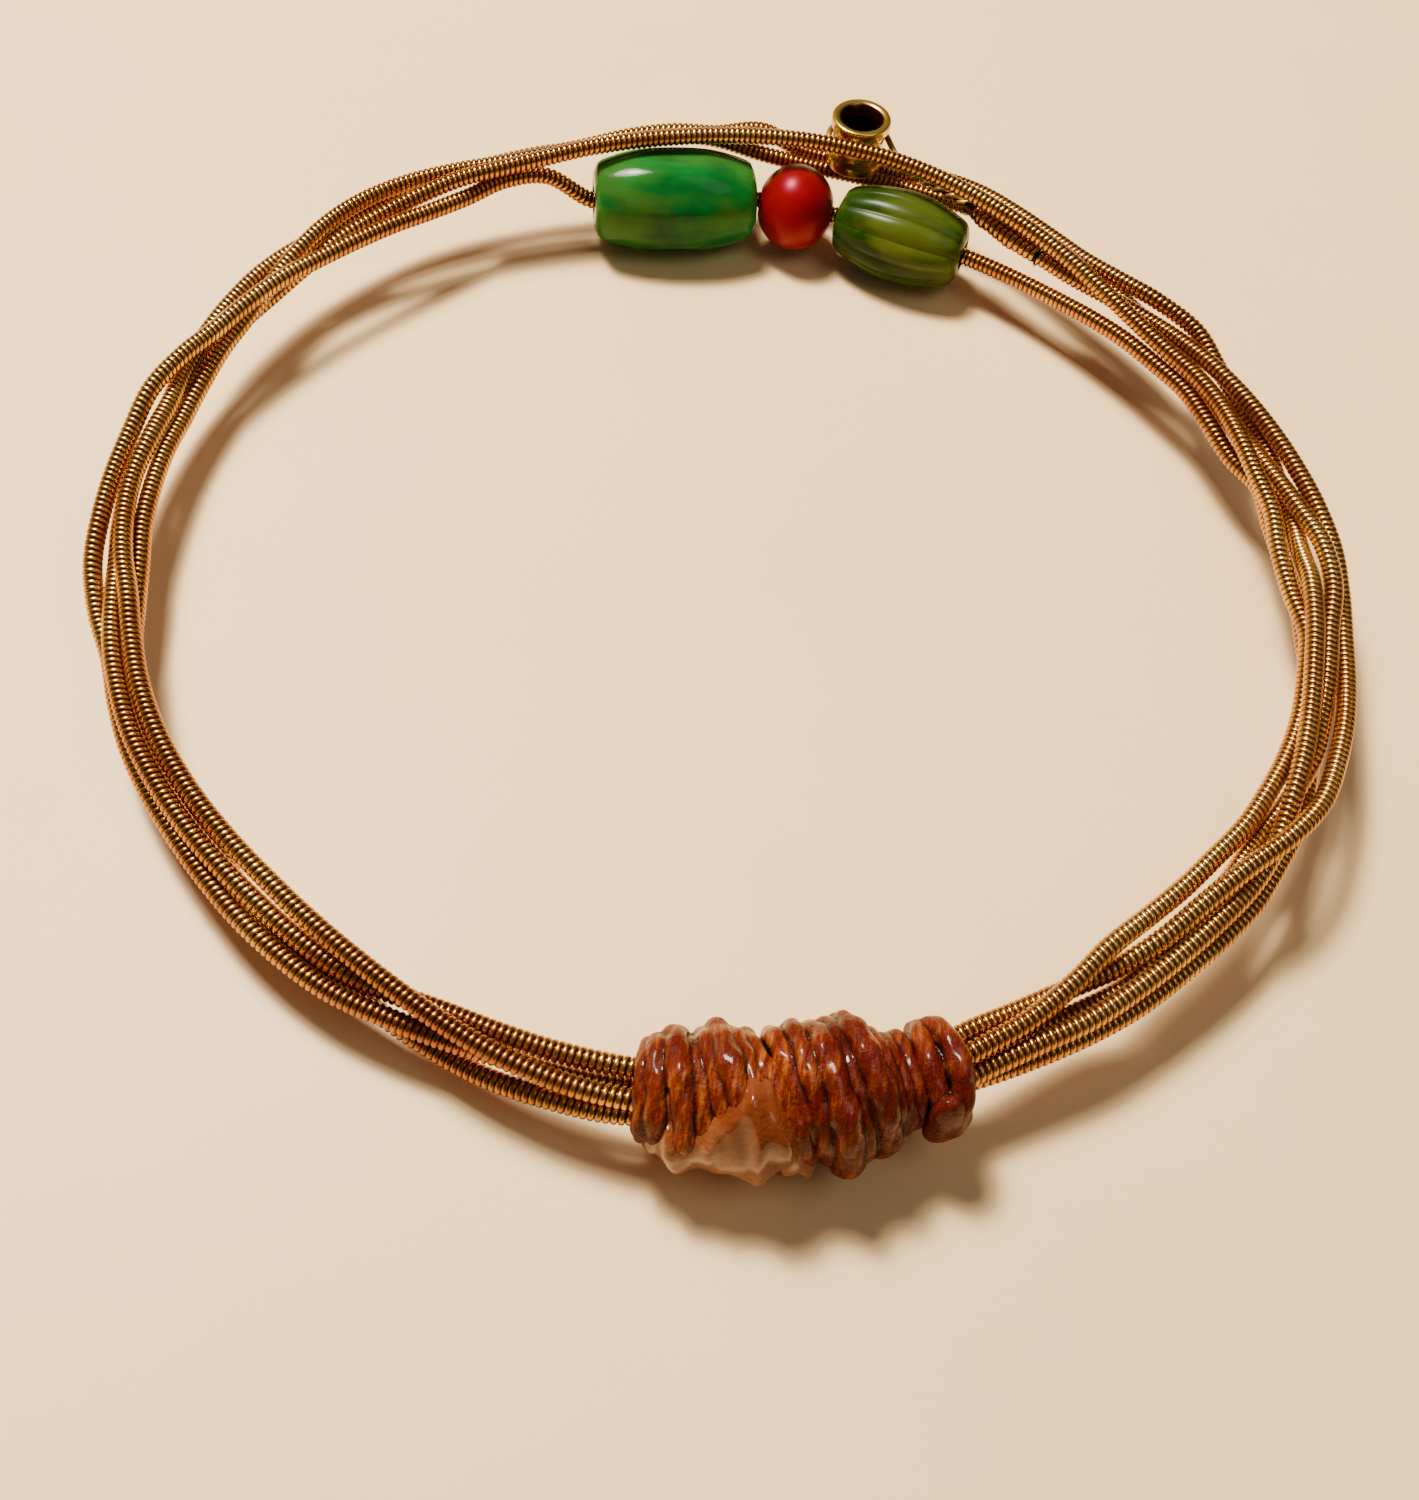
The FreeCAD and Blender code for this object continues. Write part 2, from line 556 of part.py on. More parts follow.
def profile_sketch(body, name, corners, arc=None):
    """A closed profile on the body's XZ plane, each corner held by expressions.

    Corners are (across, up).  Arc is (index, radius): the side that starts at that
    corner bulges outward with that radius.  All the values are expressions.
    """
    sketch = body.newObject("Sketcher::SketchObject", name)
    sketch.AttachmentSupport = [(origin_plane(body, "XZ_Plane"), "")]
    sketch.MapMode = "FlatFace"
    places = [Vector(cell_value(across), cell_value(up), 0) for across, up in corners]
    count = len(places)
    ends = {}
    for index, start in enumerate(places):
        end = places[(index + 1) % count]
        ends[index] = (1, 2)
        if arc and index == arc[0]:
            radius = cell_value(arc[1])
            half = (end - start).Length / 2
            rise = radius - math.sqrt(radius ** 2 - half ** 2)
            middle = (start + end) * 0.5 + Vector(rise, 0, 0)
            sketch.addGeometry(Part.Arc(start, middle, end), False)
            if end.y < start.y:
                ends[index] = (2, 1)
        else:
            sketch.addGeometry(Part.LineSegment(start, end), False)
    for index in range(count):
        following = (index + 1) % count
        sketch.addConstraint(Sketcher.Constraint(
            "Coincident", index, ends[index][1], following, ends[following][0]))
    for index, corner in enumerate(corners):
        for kind, expression, axis in (
                ("DistanceX", corner[0], -2), ("DistanceY", corner[1], -1)):
            value = cell_value(expression)
            vertex = ends[index][0]
            if value == 0:
                sketch.addConstraint(
                    Sketcher.Constraint("PointOnObject", index, vertex, axis))
                continue
            number = sketch.addConstraint(
                Sketcher.Constraint(kind, -1, 1, index, vertex, value))
            sketch.setExpression("Constraints[%d]" % number, expression)
    if arc:
        number = sketch.addConstraint(
            Sketcher.Constraint("Radius", arc[0], cell_value(arc[1])))
        sketch.setExpression("Constraints[%d]" % number, arc[1])
    return sketch


def revolve(body, kind, name, sketch):
    """Turn a profile all the way round the body's own Z axis."""
    feature = body.newObject(kind, name)
    feature.Profile = sketch
    feature.ReferenceAxis = (sketch, ["V_Axis"])
    feature.Angle = 360
    return feature


def cell(alias):
    """How an expression names a cell of the sheet."""
    return "Dimensions." + alias


def arc_radius(middle, end, length):
    """Expression for the radius of a barrel's side from its two radii and length."""
    depth = "(%s - %s)" % (cell(middle), cell(end))
    half = "(%s / 2)" % cell(length)
    return "(%s * %s + %s * %s) / (2 * %s)" % (depth, depth, half, half, depth)


def run_placement(run, length):
    """Placement of a bead, built upward from its end, in the middle of its run."""
    start, end = [ring_point(*bead_corner(bearing)) for bearing in run]
    heading = (end - start).normalize()
    base = (start + end) * 0.5 - heading * (length / 2)
    return Placement(base, facing_down(heading))


def facing_down(heading):
    """Rotation that takes Z to a heading and X to as straight down as it can be."""
    down = Vector(0, 0, -1)
    side = heading.cross(down).normalize()
    return Rotation(side.cross(heading), side, heading, "ZXY")


turns = settle_turns()
made = []

# The wound turns: a hollow winding on a solid core.
for name in TURN_ROUTES:
    points = turn_points(name, turns)
    number = name[-1]
    made.append(add_shape("turn_%s_winding" % number,
                          tube(points, size.string_diameter, size.winding_bore)))
    made.append(add_shape("turn_%s_core" % number, tube(points, size.core_diameter)))

# The core wire's loop round the ball end, and the double winding over its twist.
made.append(add_shape("core_loop", tube(twisted_loop(turns), size.core_diameter)))
cover = [ring_point(*place) for place in turns["string_turn_1"]
         if place[0] >= size.overwound_from]
cover[0] = cover[0] + (cover[1] - cover[0]).normalize() * size.end_gap
made.append(add_shape("overwound_end",
                      tube(cover, size.overwound_diameter, size.overwound_bore)))

# The brass ball end: a grooved spool with a hole along its axis.
ball = new_body("ball_end")
rim = "%s / 2" % cell("ball_diameter")
groove = "%s / 2" % cell("ball_waist")
bore = "%s / 2" % cell("ball_bore")
mouth_rim = "%s / 2" % cell("ball_mouth")
mouth = cell("mouth_depth")
rim_height = cell("ball_rim")
groove_height = cell("groove_start")
tall = cell("ball_length")
spool = profile_sketch(ball, "spool_profile", [
    (bore, mouth), (mouth_rim, "0"), (rim, "0"),
    (rim, rim_height), (groove, groove_height),
    (groove, "%s - %s" % (tall, groove_height)), (rim, "%s - %s" % (tall, rim_height)),
    (rim, tall), (mouth_rim, tall), (bore, "%s - %s" % (tall, mouth))])
revolve(ball, "PartDesign::Revolution", "spool", spool)
document.recompute()
rims = []
for index, edge in enumerate(ball.Tip.Shape.Edges, start=1):
    vertices = edge.Vertexes
    if len(vertices) == 1 and abs(vertices[0].X - size.ball_diameter / 2) < 1e-6:
        rims.append("Edge%d" % index)
rounding = ball.newObject("PartDesign::Fillet", "rim_rounding")
rounding.Base = (ball.getObject("spool"), rims)
bind(rounding, Radius=cell("ball_rounding"))
ball.Placement = Placement(
    ring_point(size.ball_bearing, size.ball_distance, size.ball_base), Rotation())
made.append(ball)

# The left bead: an eight-sided barrel with a hole along it.
half_side = 180 / size.left_bead_sides
left_bead = new_body("left_green_bead")
prism = left_bead.newObject("PartDesign::AdditivePrism", "eight_sides")
bind(prism, Polygon=cell("left_bead_sides"), Height=cell("left_bead_length"),
     Circumradius="%s / 2 / cos(180 deg / %s)" % (
         cell("left_bead_across"), cell("left_bead_sides")))
outside = "%s + %s" % (cell("left_bead_middle"), cell("cutting_reach"))
left_end = cell("left_bead_end")
left_length = cell("left_bead_length")
ends_profile = profile_sketch(
    left_bead, "barrel_ends",
    [(outside, "0"), (left_end, "0"), (left_end, left_length), (outside, left_length)],
    (1, arc_radius("left_bead_middle", "left_bead_end", "left_bead_length")))
revolve(left_bead, "PartDesign::Groove", "rounded_ends", ends_profile)
hole = left_bead.newObject("PartDesign::SubtractiveCylinder", "left_bead_hole")
bind(hole, Radius="%s / 2" % cell("bead_bore"), Height=left_length)
left_bead.Placement = run_placement(LEFT_BEAD_RUN, size.left_bead_length)
left_bead.Placement.Rotation = left_bead.Placement.Rotation.multiply(
    Rotation(Vector(0, 0, 1), half_side))
made.append(left_bead)

# The red bead: an ellipsoid with a hole along it.
ellipsoid = document.addObject("Part::Ellipsoid", "red_bead_outside")
bind(ellipsoid, Radius1="%s / 2" % cell("red_bead_length"),
     Radius2="%s / 2" % cell("red_bead_diameter"),
     Radius3="%s / 2" % cell("red_bead_diameter"))
drill = document.addObject("Part::Cylinder", "red_bead_hole")
bind(drill, Radius="%s / 2" % cell("bead_bore"), Height=cell("red_bead_diameter"))
drill.Placement.Base = Vector(0, 0, -size.red_bead_diameter / 2)
red_bead = document.addObject("Part::Cut", "red_bead")
red_bead.Label = "red_bead"
red_bead.Base = ellipsoid
red_bead.Tool = drill
red_bead.Placement = run_placement(RED_BEAD_RUN, 0)
made.append(red_bead)

# The right bead: a round barrel with shallow grooves along it.
right_bead = new_body("right_green_bead")
right_end = cell("right_bead_end")
right_length = cell("right_bead_length")
hole_side = "%s / 2" % cell("bead_bore")
barrel_profile = profile_sketch(
    right_bead, "barrel_profile",
    [(hole_side, "0"), (right_end, "0"), (right_end, right_length),
     (hole_side, right_length)],
    (1, arc_radius("right_bead_middle", "right_bead_end", "right_bead_length")))
revolve(right_bead, "PartDesign::Revolution", "barrel", barrel_profile)
flute = right_bead.newObject("PartDesign::SubtractiveCylinder", "flute")
bind(flute, Radius=cell("flute_radius"), Height=right_length)
flute.AttachmentOffset = Placement(
    Vector(size.right_bead_middle + size.flute_radius - size.flute_depth, 0, 0), Rotation())
bind(flute, **{".AttachmentOffset.Base.x": "%s + %s - %s" % (
    cell("right_bead_middle"), cell("flute_radius"), cell("flute_depth"))})
flutes = right_bead.newObject("PartDesign::PolarPattern", "flutes")
flutes.Originals = [flute]
flutes.Axis = (barrel_profile, ["V_Axis"])
flutes.Angle = 360
bind(flutes, Occurrences=cell("flute_count"))
right_bead.Tip = flutes
right_bead.Placement = run_placement(RIGHT_BEAD_RUN, size.right_bead_length)
made.append(right_bead)

# The binding: two blocks of cord, each wound in two layers, a last loop and glue.
made.append(add_shape("binding_cord_left",
                      tube(wrapped_cord(LEFT_WRAPS, first_angle=200, missing_wraps=1),
                           size.cord_diameter)))
made.append(add_shape("binding_cord_right",
                      tube(wrapped_cord(RIGHT_WRAPS, first_angle=20, missing_wraps=2),
                           size.cord_diameter)))
made.append(add_shape("binding_last_loop", last_loop()))
made.append(add_shape("dried_glue", glue_skin()))

document.recompute()
for feature in document.Objects:
    if "Invalid" in feature.State or "Error" in feature.State:
        raise RuntimeError("%s is in state %s" % (feature.Label, feature.State))
os.makedirs("parts", exist_ok=True)
for feature in made:
    if feature.Shape.isNull() or not feature.Shape.isValid() or not feature.Shape.Solids:
        raise RuntimeError(feature.Label + " has no valid solid")
    feature.Shape.exportStep("parts/%s.step" % feature.Label)
    box = feature.Shape.BoundBox
    print("%-20s volume %8.2f  x %6.2f..%6.2f  y %6.2f..%6.2f  z %5.2f..%5.2f" % (
        feature.Label, feature.Shape.Volume, box.XMin, box.XMax,
        box.YMin, box.YMax, box.ZMin, box.ZMax))
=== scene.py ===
"""Looks of the string bracelet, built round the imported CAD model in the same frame."""
import math

import bpy
import numpy as np
from mathutils import Matrix, Vector


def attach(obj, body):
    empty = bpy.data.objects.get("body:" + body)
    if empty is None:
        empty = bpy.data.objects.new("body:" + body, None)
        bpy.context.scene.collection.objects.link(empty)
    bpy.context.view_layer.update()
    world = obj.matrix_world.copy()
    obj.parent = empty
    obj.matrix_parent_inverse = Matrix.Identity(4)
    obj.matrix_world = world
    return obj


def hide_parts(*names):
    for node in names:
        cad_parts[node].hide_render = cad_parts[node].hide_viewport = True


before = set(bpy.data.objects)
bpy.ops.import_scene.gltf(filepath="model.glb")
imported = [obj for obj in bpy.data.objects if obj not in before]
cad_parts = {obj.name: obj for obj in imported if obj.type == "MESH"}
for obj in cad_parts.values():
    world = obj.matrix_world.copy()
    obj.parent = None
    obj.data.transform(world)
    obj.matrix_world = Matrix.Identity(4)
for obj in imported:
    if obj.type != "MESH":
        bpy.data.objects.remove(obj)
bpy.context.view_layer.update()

MM = 0.001

# How closely the looks are modelled, in millimetres and in sides round.
WRAP_PITCH, WINDING_SIDES = 0.342, 14
OVERWOUND_BORE, OVERWOUND_WIRE, OVERWOUND_PITCH, OVERWOUND_SIDES = 0.96, 0.36, 0.40, 18
OVERWOUND_SPACING, OVERWOUND_OVERLAP = 0.1, 0.35
LINE_SPACING, BORE_SPACING, CORD_SPACING, CORD_SIDES = 0.15, 1.5, 0.1, 18
BALL_SIDES, LEFT_SIDES, RED_SIDES, RIGHT_SIDES = 64, 96, 72, 144
BALL_ROUNDING, LEFT_ROUNDING, RIGHT_ROUNDING = 0.3, 0.5, 0.6
END_INSET, RIM_INSET = 0.02, 0.04        # how far a winding's end faces are drawn in
SLEEVE_SIDES, SLEEVE_ROWS = 32, 48
SLEEVE_TAPER = 0.7     # length over which a sleeve narrows at its ends
CORD_VOXEL, LOOP_VOXEL, GLUE_VOXEL = 0.065, 0.06, 0.07
CORD_PASSES, GLUE_PASSES = 3, 2          # rounds of smoothing
CREST_ROUNDS, CREST_GAIN = 14, 7         # how ridges are told from creases
GLUE_START, GLUE_END = -90.2, -76.4      # bearings
GLUE_BACK = 1.75       # radius of the glue's hidden side
GLUE_ROUND, GLUE_BOTTOM = (-165, 85), -158               # angles round the binding
GLUE_THICKNESS, GLUE_DIVE = 0.55, 0.42   # the dive is how far its edge is under the cord
RIM_ANGLE, RIM_BEARING = 24, 0.7         # widths of its edge, in degrees

# Sizes in millimetres, the same as in the CAD part.
STRING = 1.07          # the winding's outside diameter
BORE = 0.47            # the winding's bore
WIRE = 0.33            # the wire it is wound from
CORE = 0.41            # the core wire
STEP = 5.0             # degrees between the places of a settled turn
KNOT = -77.5           # bearing of the binding's middle
END_GAP = 0.10         # between the turns' ends there
OVERWOUND = 1.4        # the double winding's outside diameter
OVERWOUND_FROM = 57.5  # the bearing where it begins
BALL_BEARING = 82.0
BALL_DISTANCE = 34.3
BALL_BASE = 4.3
BALL_DIAMETER = 3.8
BALL_LENGTH = 3.4
BALL_WAIST = 3.3
BALL_BORE = 1.9
BALL_MOUTH = 2.9
MOUTH_DEPTH = 0.55
BALL_RIM = 0.64
GROOVE_START = 0.98
LOOP_CLEARANCE = 0.03
BEAD_BORE = 1.7
LEFT_ACROSS, LEFT_LENGTH, LEFT_MIDDLE, LEFT_END = 6.3, 10.3, 3.3, 2.2
RED_ACROSS, RED_LENGTH = 5.4, 4.95
RIGHT_LENGTH, RIGHT_MIDDLE, RIGHT_END = 8.4, 2.9, 1.85
CORD = 1.05
BINDING_DISTANCE = 32.4
BINDING_HEIGHT = 3.975
CORD_INNER = 2.11      # from the binding's axis to the inner layer of cord

# The turns' routes: (bearing, distance, height), as in the CAD part.
TURN_ROUTES = {
    "string_turn_1": [
        (-77.5, 31.77, 4.73), (-66, 31.35, 4.6), (-62, 31.1, 4.4), (-55, 31.0, 4.1),
        (-48, 31.55, 4.3), (-40, 31.8, 5.3), (-35, 32.1, 5.6), (-28, 33.1, 5.8),
        (-20, 34.0, 5.7), (-13, 33.9, 5.5), (-5, 33.6, 5.1), (3, 33.5, 5.5),
        (12, 33.4, 5.9), (23, 32.8, 6.1), (31, 32.3, 6.1), (38, 32.3, 5.7),
        (45, 31.7, 5.2), (52, 30.9, 5.2), (58, 30.8, 5.3), (64, 31.3, 5.4),
        (72, 33.2, 5.5)],
    "string_turn_2": [
        (-77.5, 32.92, 4.81), (-65, 32.3, 4.85), (-58, 31.8, 5.0), (-51, 31.1, 5.1),
        (-44, 30.7, 5.1), (-38, 30.65, 5.1), (-30, 31.0, 5.1), (-24, 31.8, 5.0),
        (-18, 32.2, 4.8), (-10, 32.2, 4.7), (-3, 32.0, 5.0), (3, 31.7, 5.3),
        (10, 31.0, 5.6), (17, 30.85, 5.8), (24, 31.1, 5.8), (31, 31.2, 5.6),
        (38, 31.0, 5.4), (45, 30.75, 5.7), (51, 30.75, 6.2), (58, 30.95, 6.6),
        (64, 31.05, 6.9), (72, 31.35, 7.2), (82, 31.6, 7.25), (92, 31.3, 7.2),
        (102, 30.9, 7.1), (112, 30.9, 6.7), (120, 31.2, 6.0), (128, 31.6, 5.5),
        (134, 31.9, 5.1), (141, 32.3, 4.6), (148, 32.4, 4.0), (156, 32.5, 3.5),
        (168, 32.6, 3.2), (180, 32.7, 3.4), (190, 32.5, 3.5), (197, 32.4, 3.8),
        (204, 32.5, 4.1), (212, 32.7, 4.1), (222, 32.4, 3.9), (233, 32.1, 3.6),
        (243, 32.0, 3.3), (250, 31.6, 3.2), (257, 31.6, 3.8), (263, 31.5, 4.2),
        (270, 31.7, 4.6), (282.5, 31.77, 4.73)],
    "string_turn_3": [
        (-77.5, 31.49, 3.61), (-66, 31.7, 3.7), (-55, 31.9, 3.95), (-45, 31.9, 4.1),
        (-38, 32.0, 4.3), (-31, 32.2, 4.6), (-24, 32.3, 4.75), (-17, 32.6, 4.9),
        (-10, 32.7, 5.3), (0, 33.0, 5.6), (8, 32.8, 5.7), (14, 32.2, 5.7),
        (20, 31.5, 5.3), (24, 31.5, 4.7), (30, 31.9, 4.3), (37, 32.4, 4.3),
        (45, 32.8, 4.3), (55, 33.1, 4.4), (62, 33.6, 4.2), (70, 34.1, 3.8),
        (78, 34.0, 3.5), (83, 33.9, 3.6), (88, 33.7, 4.1), (94, 33.7, 5.0),
        (100, 33.2, 5.1), (110, 33.1, 4.9), (120, 33.4, 4.7), (132, 33.7, 4.2),
        (141, 33.5, 4.1), (148, 33.55, 4.4), (154, 33.5, 4.4), (161, 33.1, 4.2),
        (168, 32.5, 4.3), (175, 32.0, 4.7), (182, 32.2, 4.6), (190, 32.0, 4.6),
        (200, 31.6, 4.5), (210, 31.6, 4.5), (222, 31.4, 4.3), (233, 31.2, 4.2),
        (243, 31.4, 4.2), (250, 31.8, 4.3), (257, 32.4, 4.3), (263, 32.9, 4.3),
        (270, 33.2, 4.5), (282.5, 32.92, 4.81)],
    "string_turn_4": [
        (-77.5, 32.47, 3.0), (-66, 32.6, 3.0), (-55, 33.0, 3.3), (-42, 33.3, 3.8),
        (-32, 33.6, 4.1), (-24, 33.4, 4.1), (-10, 32.5, 4.1), (0, 31.8, 4.3),
        (10, 31.5, 4.5), (20, 31.5, 4.6), (27, 31.2, 4.7), (35, 30.6, 4.7),
        (46, 30.2, 4.2), (54, 30.3, 3.5), (65.4, 30.5, 2.9), (82.5, 30.35, 2.9),
        (92.3, 30.2, 3.15), (112.6, 30.25, 3.15), (117.5, 31.4, 4.85),
        (122.5, 31.7, 4.9), (128, 31.2, 4.8), (134, 30.8, 4.95), (141, 30.85, 5.1),
        (148, 31.15, 5.2), (154, 31.6, 5.3), (160, 31.9, 5.2), (168, 32.4, 5.2),
        (176, 33.0, 4.7), (184, 33.35, 4.4),
        (190, 33.3, 4.1), (197, 32.8, 3.4), (204, 32.7, 3.1), (215, 32.9, 3.0),
        (227, 32.5, 3.0), (236, 32.8, 3.1), (243, 32.6, 2.8), (250, 32.0, 2.9),
        (257, 32.1, 2.9), (263, 32.2, 3.3), (270, 32.05, 3.4), (282.5, 31.49, 3.61)],
    "string_turn_5": [
        (-77.5, 33.35, 3.74), (-66, 33.0, 3.95), (-59, 32.5, 4.2), (-50, 32.8, 4.4),
        (-40, 32.8, 4.6), (-33, 33.1, 4.8), (-27, 32.9, 5.1), (-22, 32.6, 5.7),
        (-15, 32.1, 6.0), (-7, 31.85, 6.1), (2, 31.8, 5.9), (7, 31.75, 5.3),
        (12, 32.1, 4.7), (18, 32.4, 4.9), (24, 32.1, 5.0), (30, 32.6, 5.0),
        (36, 33.1, 5.6), (40, 32.3, 6.4), (45, 32.1, 6.4), (51, 31.7, 6.1),
        (57, 32.4, 5.7), (63, 33.3, 5.4), (70, 34.6, 4.6), (76, 35.1, 3.8),
        (82, 34.9, 3.5), (86, 34.7, 3.8), (90, 34.0, 5.0), (95, 33.0, 5.9),
        (100, 32.3, 6.1), (109, 32.2, 5.9), (118, 32.3, 5.4), (124, 32.6, 5.3),
        (130, 33.2, 5.3), (137, 33.6, 5.2), (144, 33.2, 5.1), (150, 32.5, 4.7),
        (156, 32.0, 4.2), (164, 31.8, 3.9), (172, 31.7, 3.8), (180, 31.3, 3.9),
        (192, 31.3, 3.7), (200, 31.6, 3.4), (210, 32.0, 3.2), (220, 31.9, 3.0),
        (233, 32.1, 2.5), (243, 32.0, 2.2), (250, 32.3, 1.9), (257, 32.6, 2.4),
        (263, 33.2, 3.0), (270, 33.4, 3.2), (282.5, 32.47, 3.0)],
}

THREADED_TURN = "string_turn_4"
LEFT_BEAD_RUN = (92.3, 112.6)
RED_BEAD_RUN = (82.5, 92.3)
RIGHT_BEAD_RUN = (65.4, 82.5)
HELD_BEARINGS = (60.0, 117.0)
CONTACT_GAP = 0.06     # between turns that lie side by side
BEAD_GAP = 0.16        # between a turn and a bead or the ball end
UNDER_BALL_GAP = 0.21  # between the ball end and the turns under it
TABLE_GAP = 0.15       # between the lowest turn and the surface below
CORD_GAP = 0.07        # between the turns and the cord round them
BINDING_REACH = 12.6   # degrees from the binding's middle to its ends
BALL_REACH = 6.0       # degrees beside the ball end that are kept clear
BALL_RIM_REACH = 5.0   # degrees from its middle to outside its rim
RIM_LIFT = 0.25        # how much higher a turn can be outside the rim

SWEEPS = 240           # rounds of spacing the turns out
EASED_SWEEPS = 180     # rounds in which they are also eased
STRAIGHTENING = 0.05   # share of the way to straight, each round
RETURNING = 0.12       # share of the way back to the route
PUSHING = 0.6          # share of an overlap that each turn gives way

CORNER_MARGIN = 2      # degrees beside the row of beads without a place on the turn
BEADS = 3
STRAIGHT_PARTS = (0.15, 0.5, 0.85)       # places that keep the string straight in a bead


def curve(part, start, end, lead, trail):
    """Part of the way from start to end, leaving at slope lead and arriving at trail."""
    return ((2 * part ** 3 - 3 * part ** 2 + 1) * start
            + (part ** 3 - 2 * part ** 2 + part) * lead
            + (3 * part ** 2 - 2 * part ** 3) * end
            + (part ** 3 - part ** 2) * trail)


def smooth_value(stations, bearing):
    """Distance and height on a smooth line through a route's places."""
    index = 0
    while index < len(stations) - 2 and stations[index + 1][0] < bearing:
        index += 1
    before = stations[max(index - 1, 0)]
    start = stations[index]
    end = stations[index + 1]
    after = stations[min(index + 2, len(stations) - 1)]
    span = end[0] - start[0]
    part = (bearing - start[0]) / span
    result = []
    for axis in (1, 2):
        slope_start = (end[axis] - before[axis]) / (end[0] - before[0]) * span
        slope_end = (after[axis] - start[axis]) / (after[0] - start[0]) * span
        result.append(curve(part, start[axis], end[axis], slope_start, slope_end))
    return result


def bead_reach(bearing):
    """Radius of the bead at a bearing, or zero between and beyond the beads."""
    for run, middle, end in (
            (LEFT_BEAD_RUN, LEFT_MIDDLE, LEFT_END),
            (RED_BEAD_RUN, RED_ACROSS / 2, BEAD_BORE / 2),
            (RIGHT_BEAD_RUN, RIGHT_MIDDLE, RIGHT_END)):
        along = 2 * (bearing - run[0]) / (run[1] - run[0]) - 1
        if abs(along) < 1:
            return end + (middle - end) * (1 - along ** 2)
    return 0.0


def turn_reach(name, bearing):
    """Radius of whatever fills the space round a turn's centre line."""
    if name == THREADED_TURN and bead_reach(bearing):
        return bead_reach(bearing) + BEAD_GAP - CONTACT_GAP
    if name == "string_turn_1" and bearing >= OVERWOUND_FROM:
        return OVERWOUND / 2
    return STRING / 2


def settle_turns():
    """Space the turns out so that each rests against its neighbours.

    Returns, for each turn, a list of [bearing, distance, height] one step apart.
    """
    turns = {}
    for name, stations in TURN_ROUTES.items():
        count = int((stations[-1][0] - stations[0][0]) / STEP)
        turns[name] = []
        for index in range(count + 1):
            bearing = stations[0][0] + index * STEP
            turns[name].append([bearing] + smooth_value(stations, bearing))
    aims = {name: [place[:] for place in places] for name, places in turns.items()}
    names = list(turns)
    for sweep in range(SWEEPS):
        if sweep < EASED_SWEEPS:
            for name in names:
                relax(turns[name], aims[name])
        for first in range(len(names)):
            for second in range(first + 1, len(names)):
                push_apart(turns, names[first], names[second], 0.0)
                push_apart(turns, names[first], names[second], 0.5)
        for name in names:
            for place in turns[name][1:-1]:
                keep_clear(name, place)
    return turns


def relax(places, aims):
    """Ease each place towards its aim and towards the line between its neighbours."""
    for index in range(1, len(places) - 1):
        for axis in (1, 2):
            middle = 0.5 * (places[index - 1][axis] + places[index + 1][axis])
            places[index][axis] += STRAIGHTENING * (middle - places[index][axis])
            places[index][axis] += RETURNING * (aims[index][axis] - places[index][axis])


def is_held(name, bearing):
    """Whether the beads hold a turn in place at a bearing."""
    return name == THREADED_TURN and HELD_BEARINGS[0] < bearing < HELD_BEARINGS[1]


def push_apart(turns, first, second, part):
    """Move two turns apart wherever they are closer than they can be.

    Part is how far between one place and the next the spacing is measured.
    """
    count = min(len(turns[first]), len(turns[second]))
    for index in range(count - 1):
        one = turns[first][index:index + 2]
        other = turns[second][index:index + 2]
        bearing = one[0][0] + part * STEP
        across, up = [
            (1 - part) * (other[0][axis] - one[0][axis]) + part * (other[1][axis] - one[1][axis])
            for axis in (1, 2)]
        least = turn_reach(first, bearing) + turn_reach(second, bearing) + CONTACT_GAP
        spacing = math.hypot(across, up)
        if spacing >= least:
            continue
        push = (least - spacing) / spacing
        for places, name, sign in ((one, first, -1), (other, second, 1)):
            if is_held(name, bearing):
                continue
            weights = (1.0,) if part == 0 else (0.5, 0.5)
            for place, weight in zip(places, weights):
                if place[0] in (TURN_ROUTES[name][0][0], TURN_ROUTES[name][-1][0]):
                    continue
                place[1] += sign * weight * push * across * PUSHING
                place[2] += sign * weight * push * up * PUSHING


def keep_clear(name, place):
    """Keep a place above the table, inside the binding and off the ball end."""
    radius = STRING / 2
    place[2] = max(place[2], radius + TABLE_GAP)
    if abs((place[0] - KNOT + 180) % 360 - 180) < BINDING_REACH:
        across = place[1] - BINDING_DISTANCE
        up = place[2] - BINDING_HEIGHT
        room = CORD_INNER - CORD / 2 - radius - CORD_GAP
        spacing = math.hypot(across, up)
        if spacing > room:
            place[1] = BINDING_DISTANCE + across * room / spacing
            place[2] = BINDING_HEIGHT + up * room / spacing
    from_ball = abs(place[0] - BALL_BEARING)
    if from_ball < BALL_REACH and name in ("string_turn_3", "string_turn_5"):
        lift = RIM_LIFT if from_ball > BALL_RIM_REACH else 0.0
        place[2] = min(place[2], BALL_BASE - radius - UNDER_BALL_GAP + lift)
    if from_ball < BALL_REACH and name == "string_turn_2":
        inside = BALL_DISTANCE - BALL_WAIST / 2 - LOOP_CLEARANCE - CORE
        place[1] = min(place[1], inside - radius - BEAD_GAP)


def ring_point(bearing, distance, height):
    """The point at a bearing, distance and height around the ring, in millimetres."""
    angle = math.radians(bearing)
    return np.array([distance * math.cos(angle), distance * math.sin(angle), height])


# ---------------------------------------------------------------- meshes

def link(name, data):
    """A new object holding some data, in the scene."""
    thing = bpy.data.objects.new(name, data)
    bpy.context.scene.collection.objects.link(thing)
    return thing


def paint(mesh, material):
    """Give a mesh one material, in place of any it has."""
    mesh.materials.clear()
    mesh.materials.append(material)


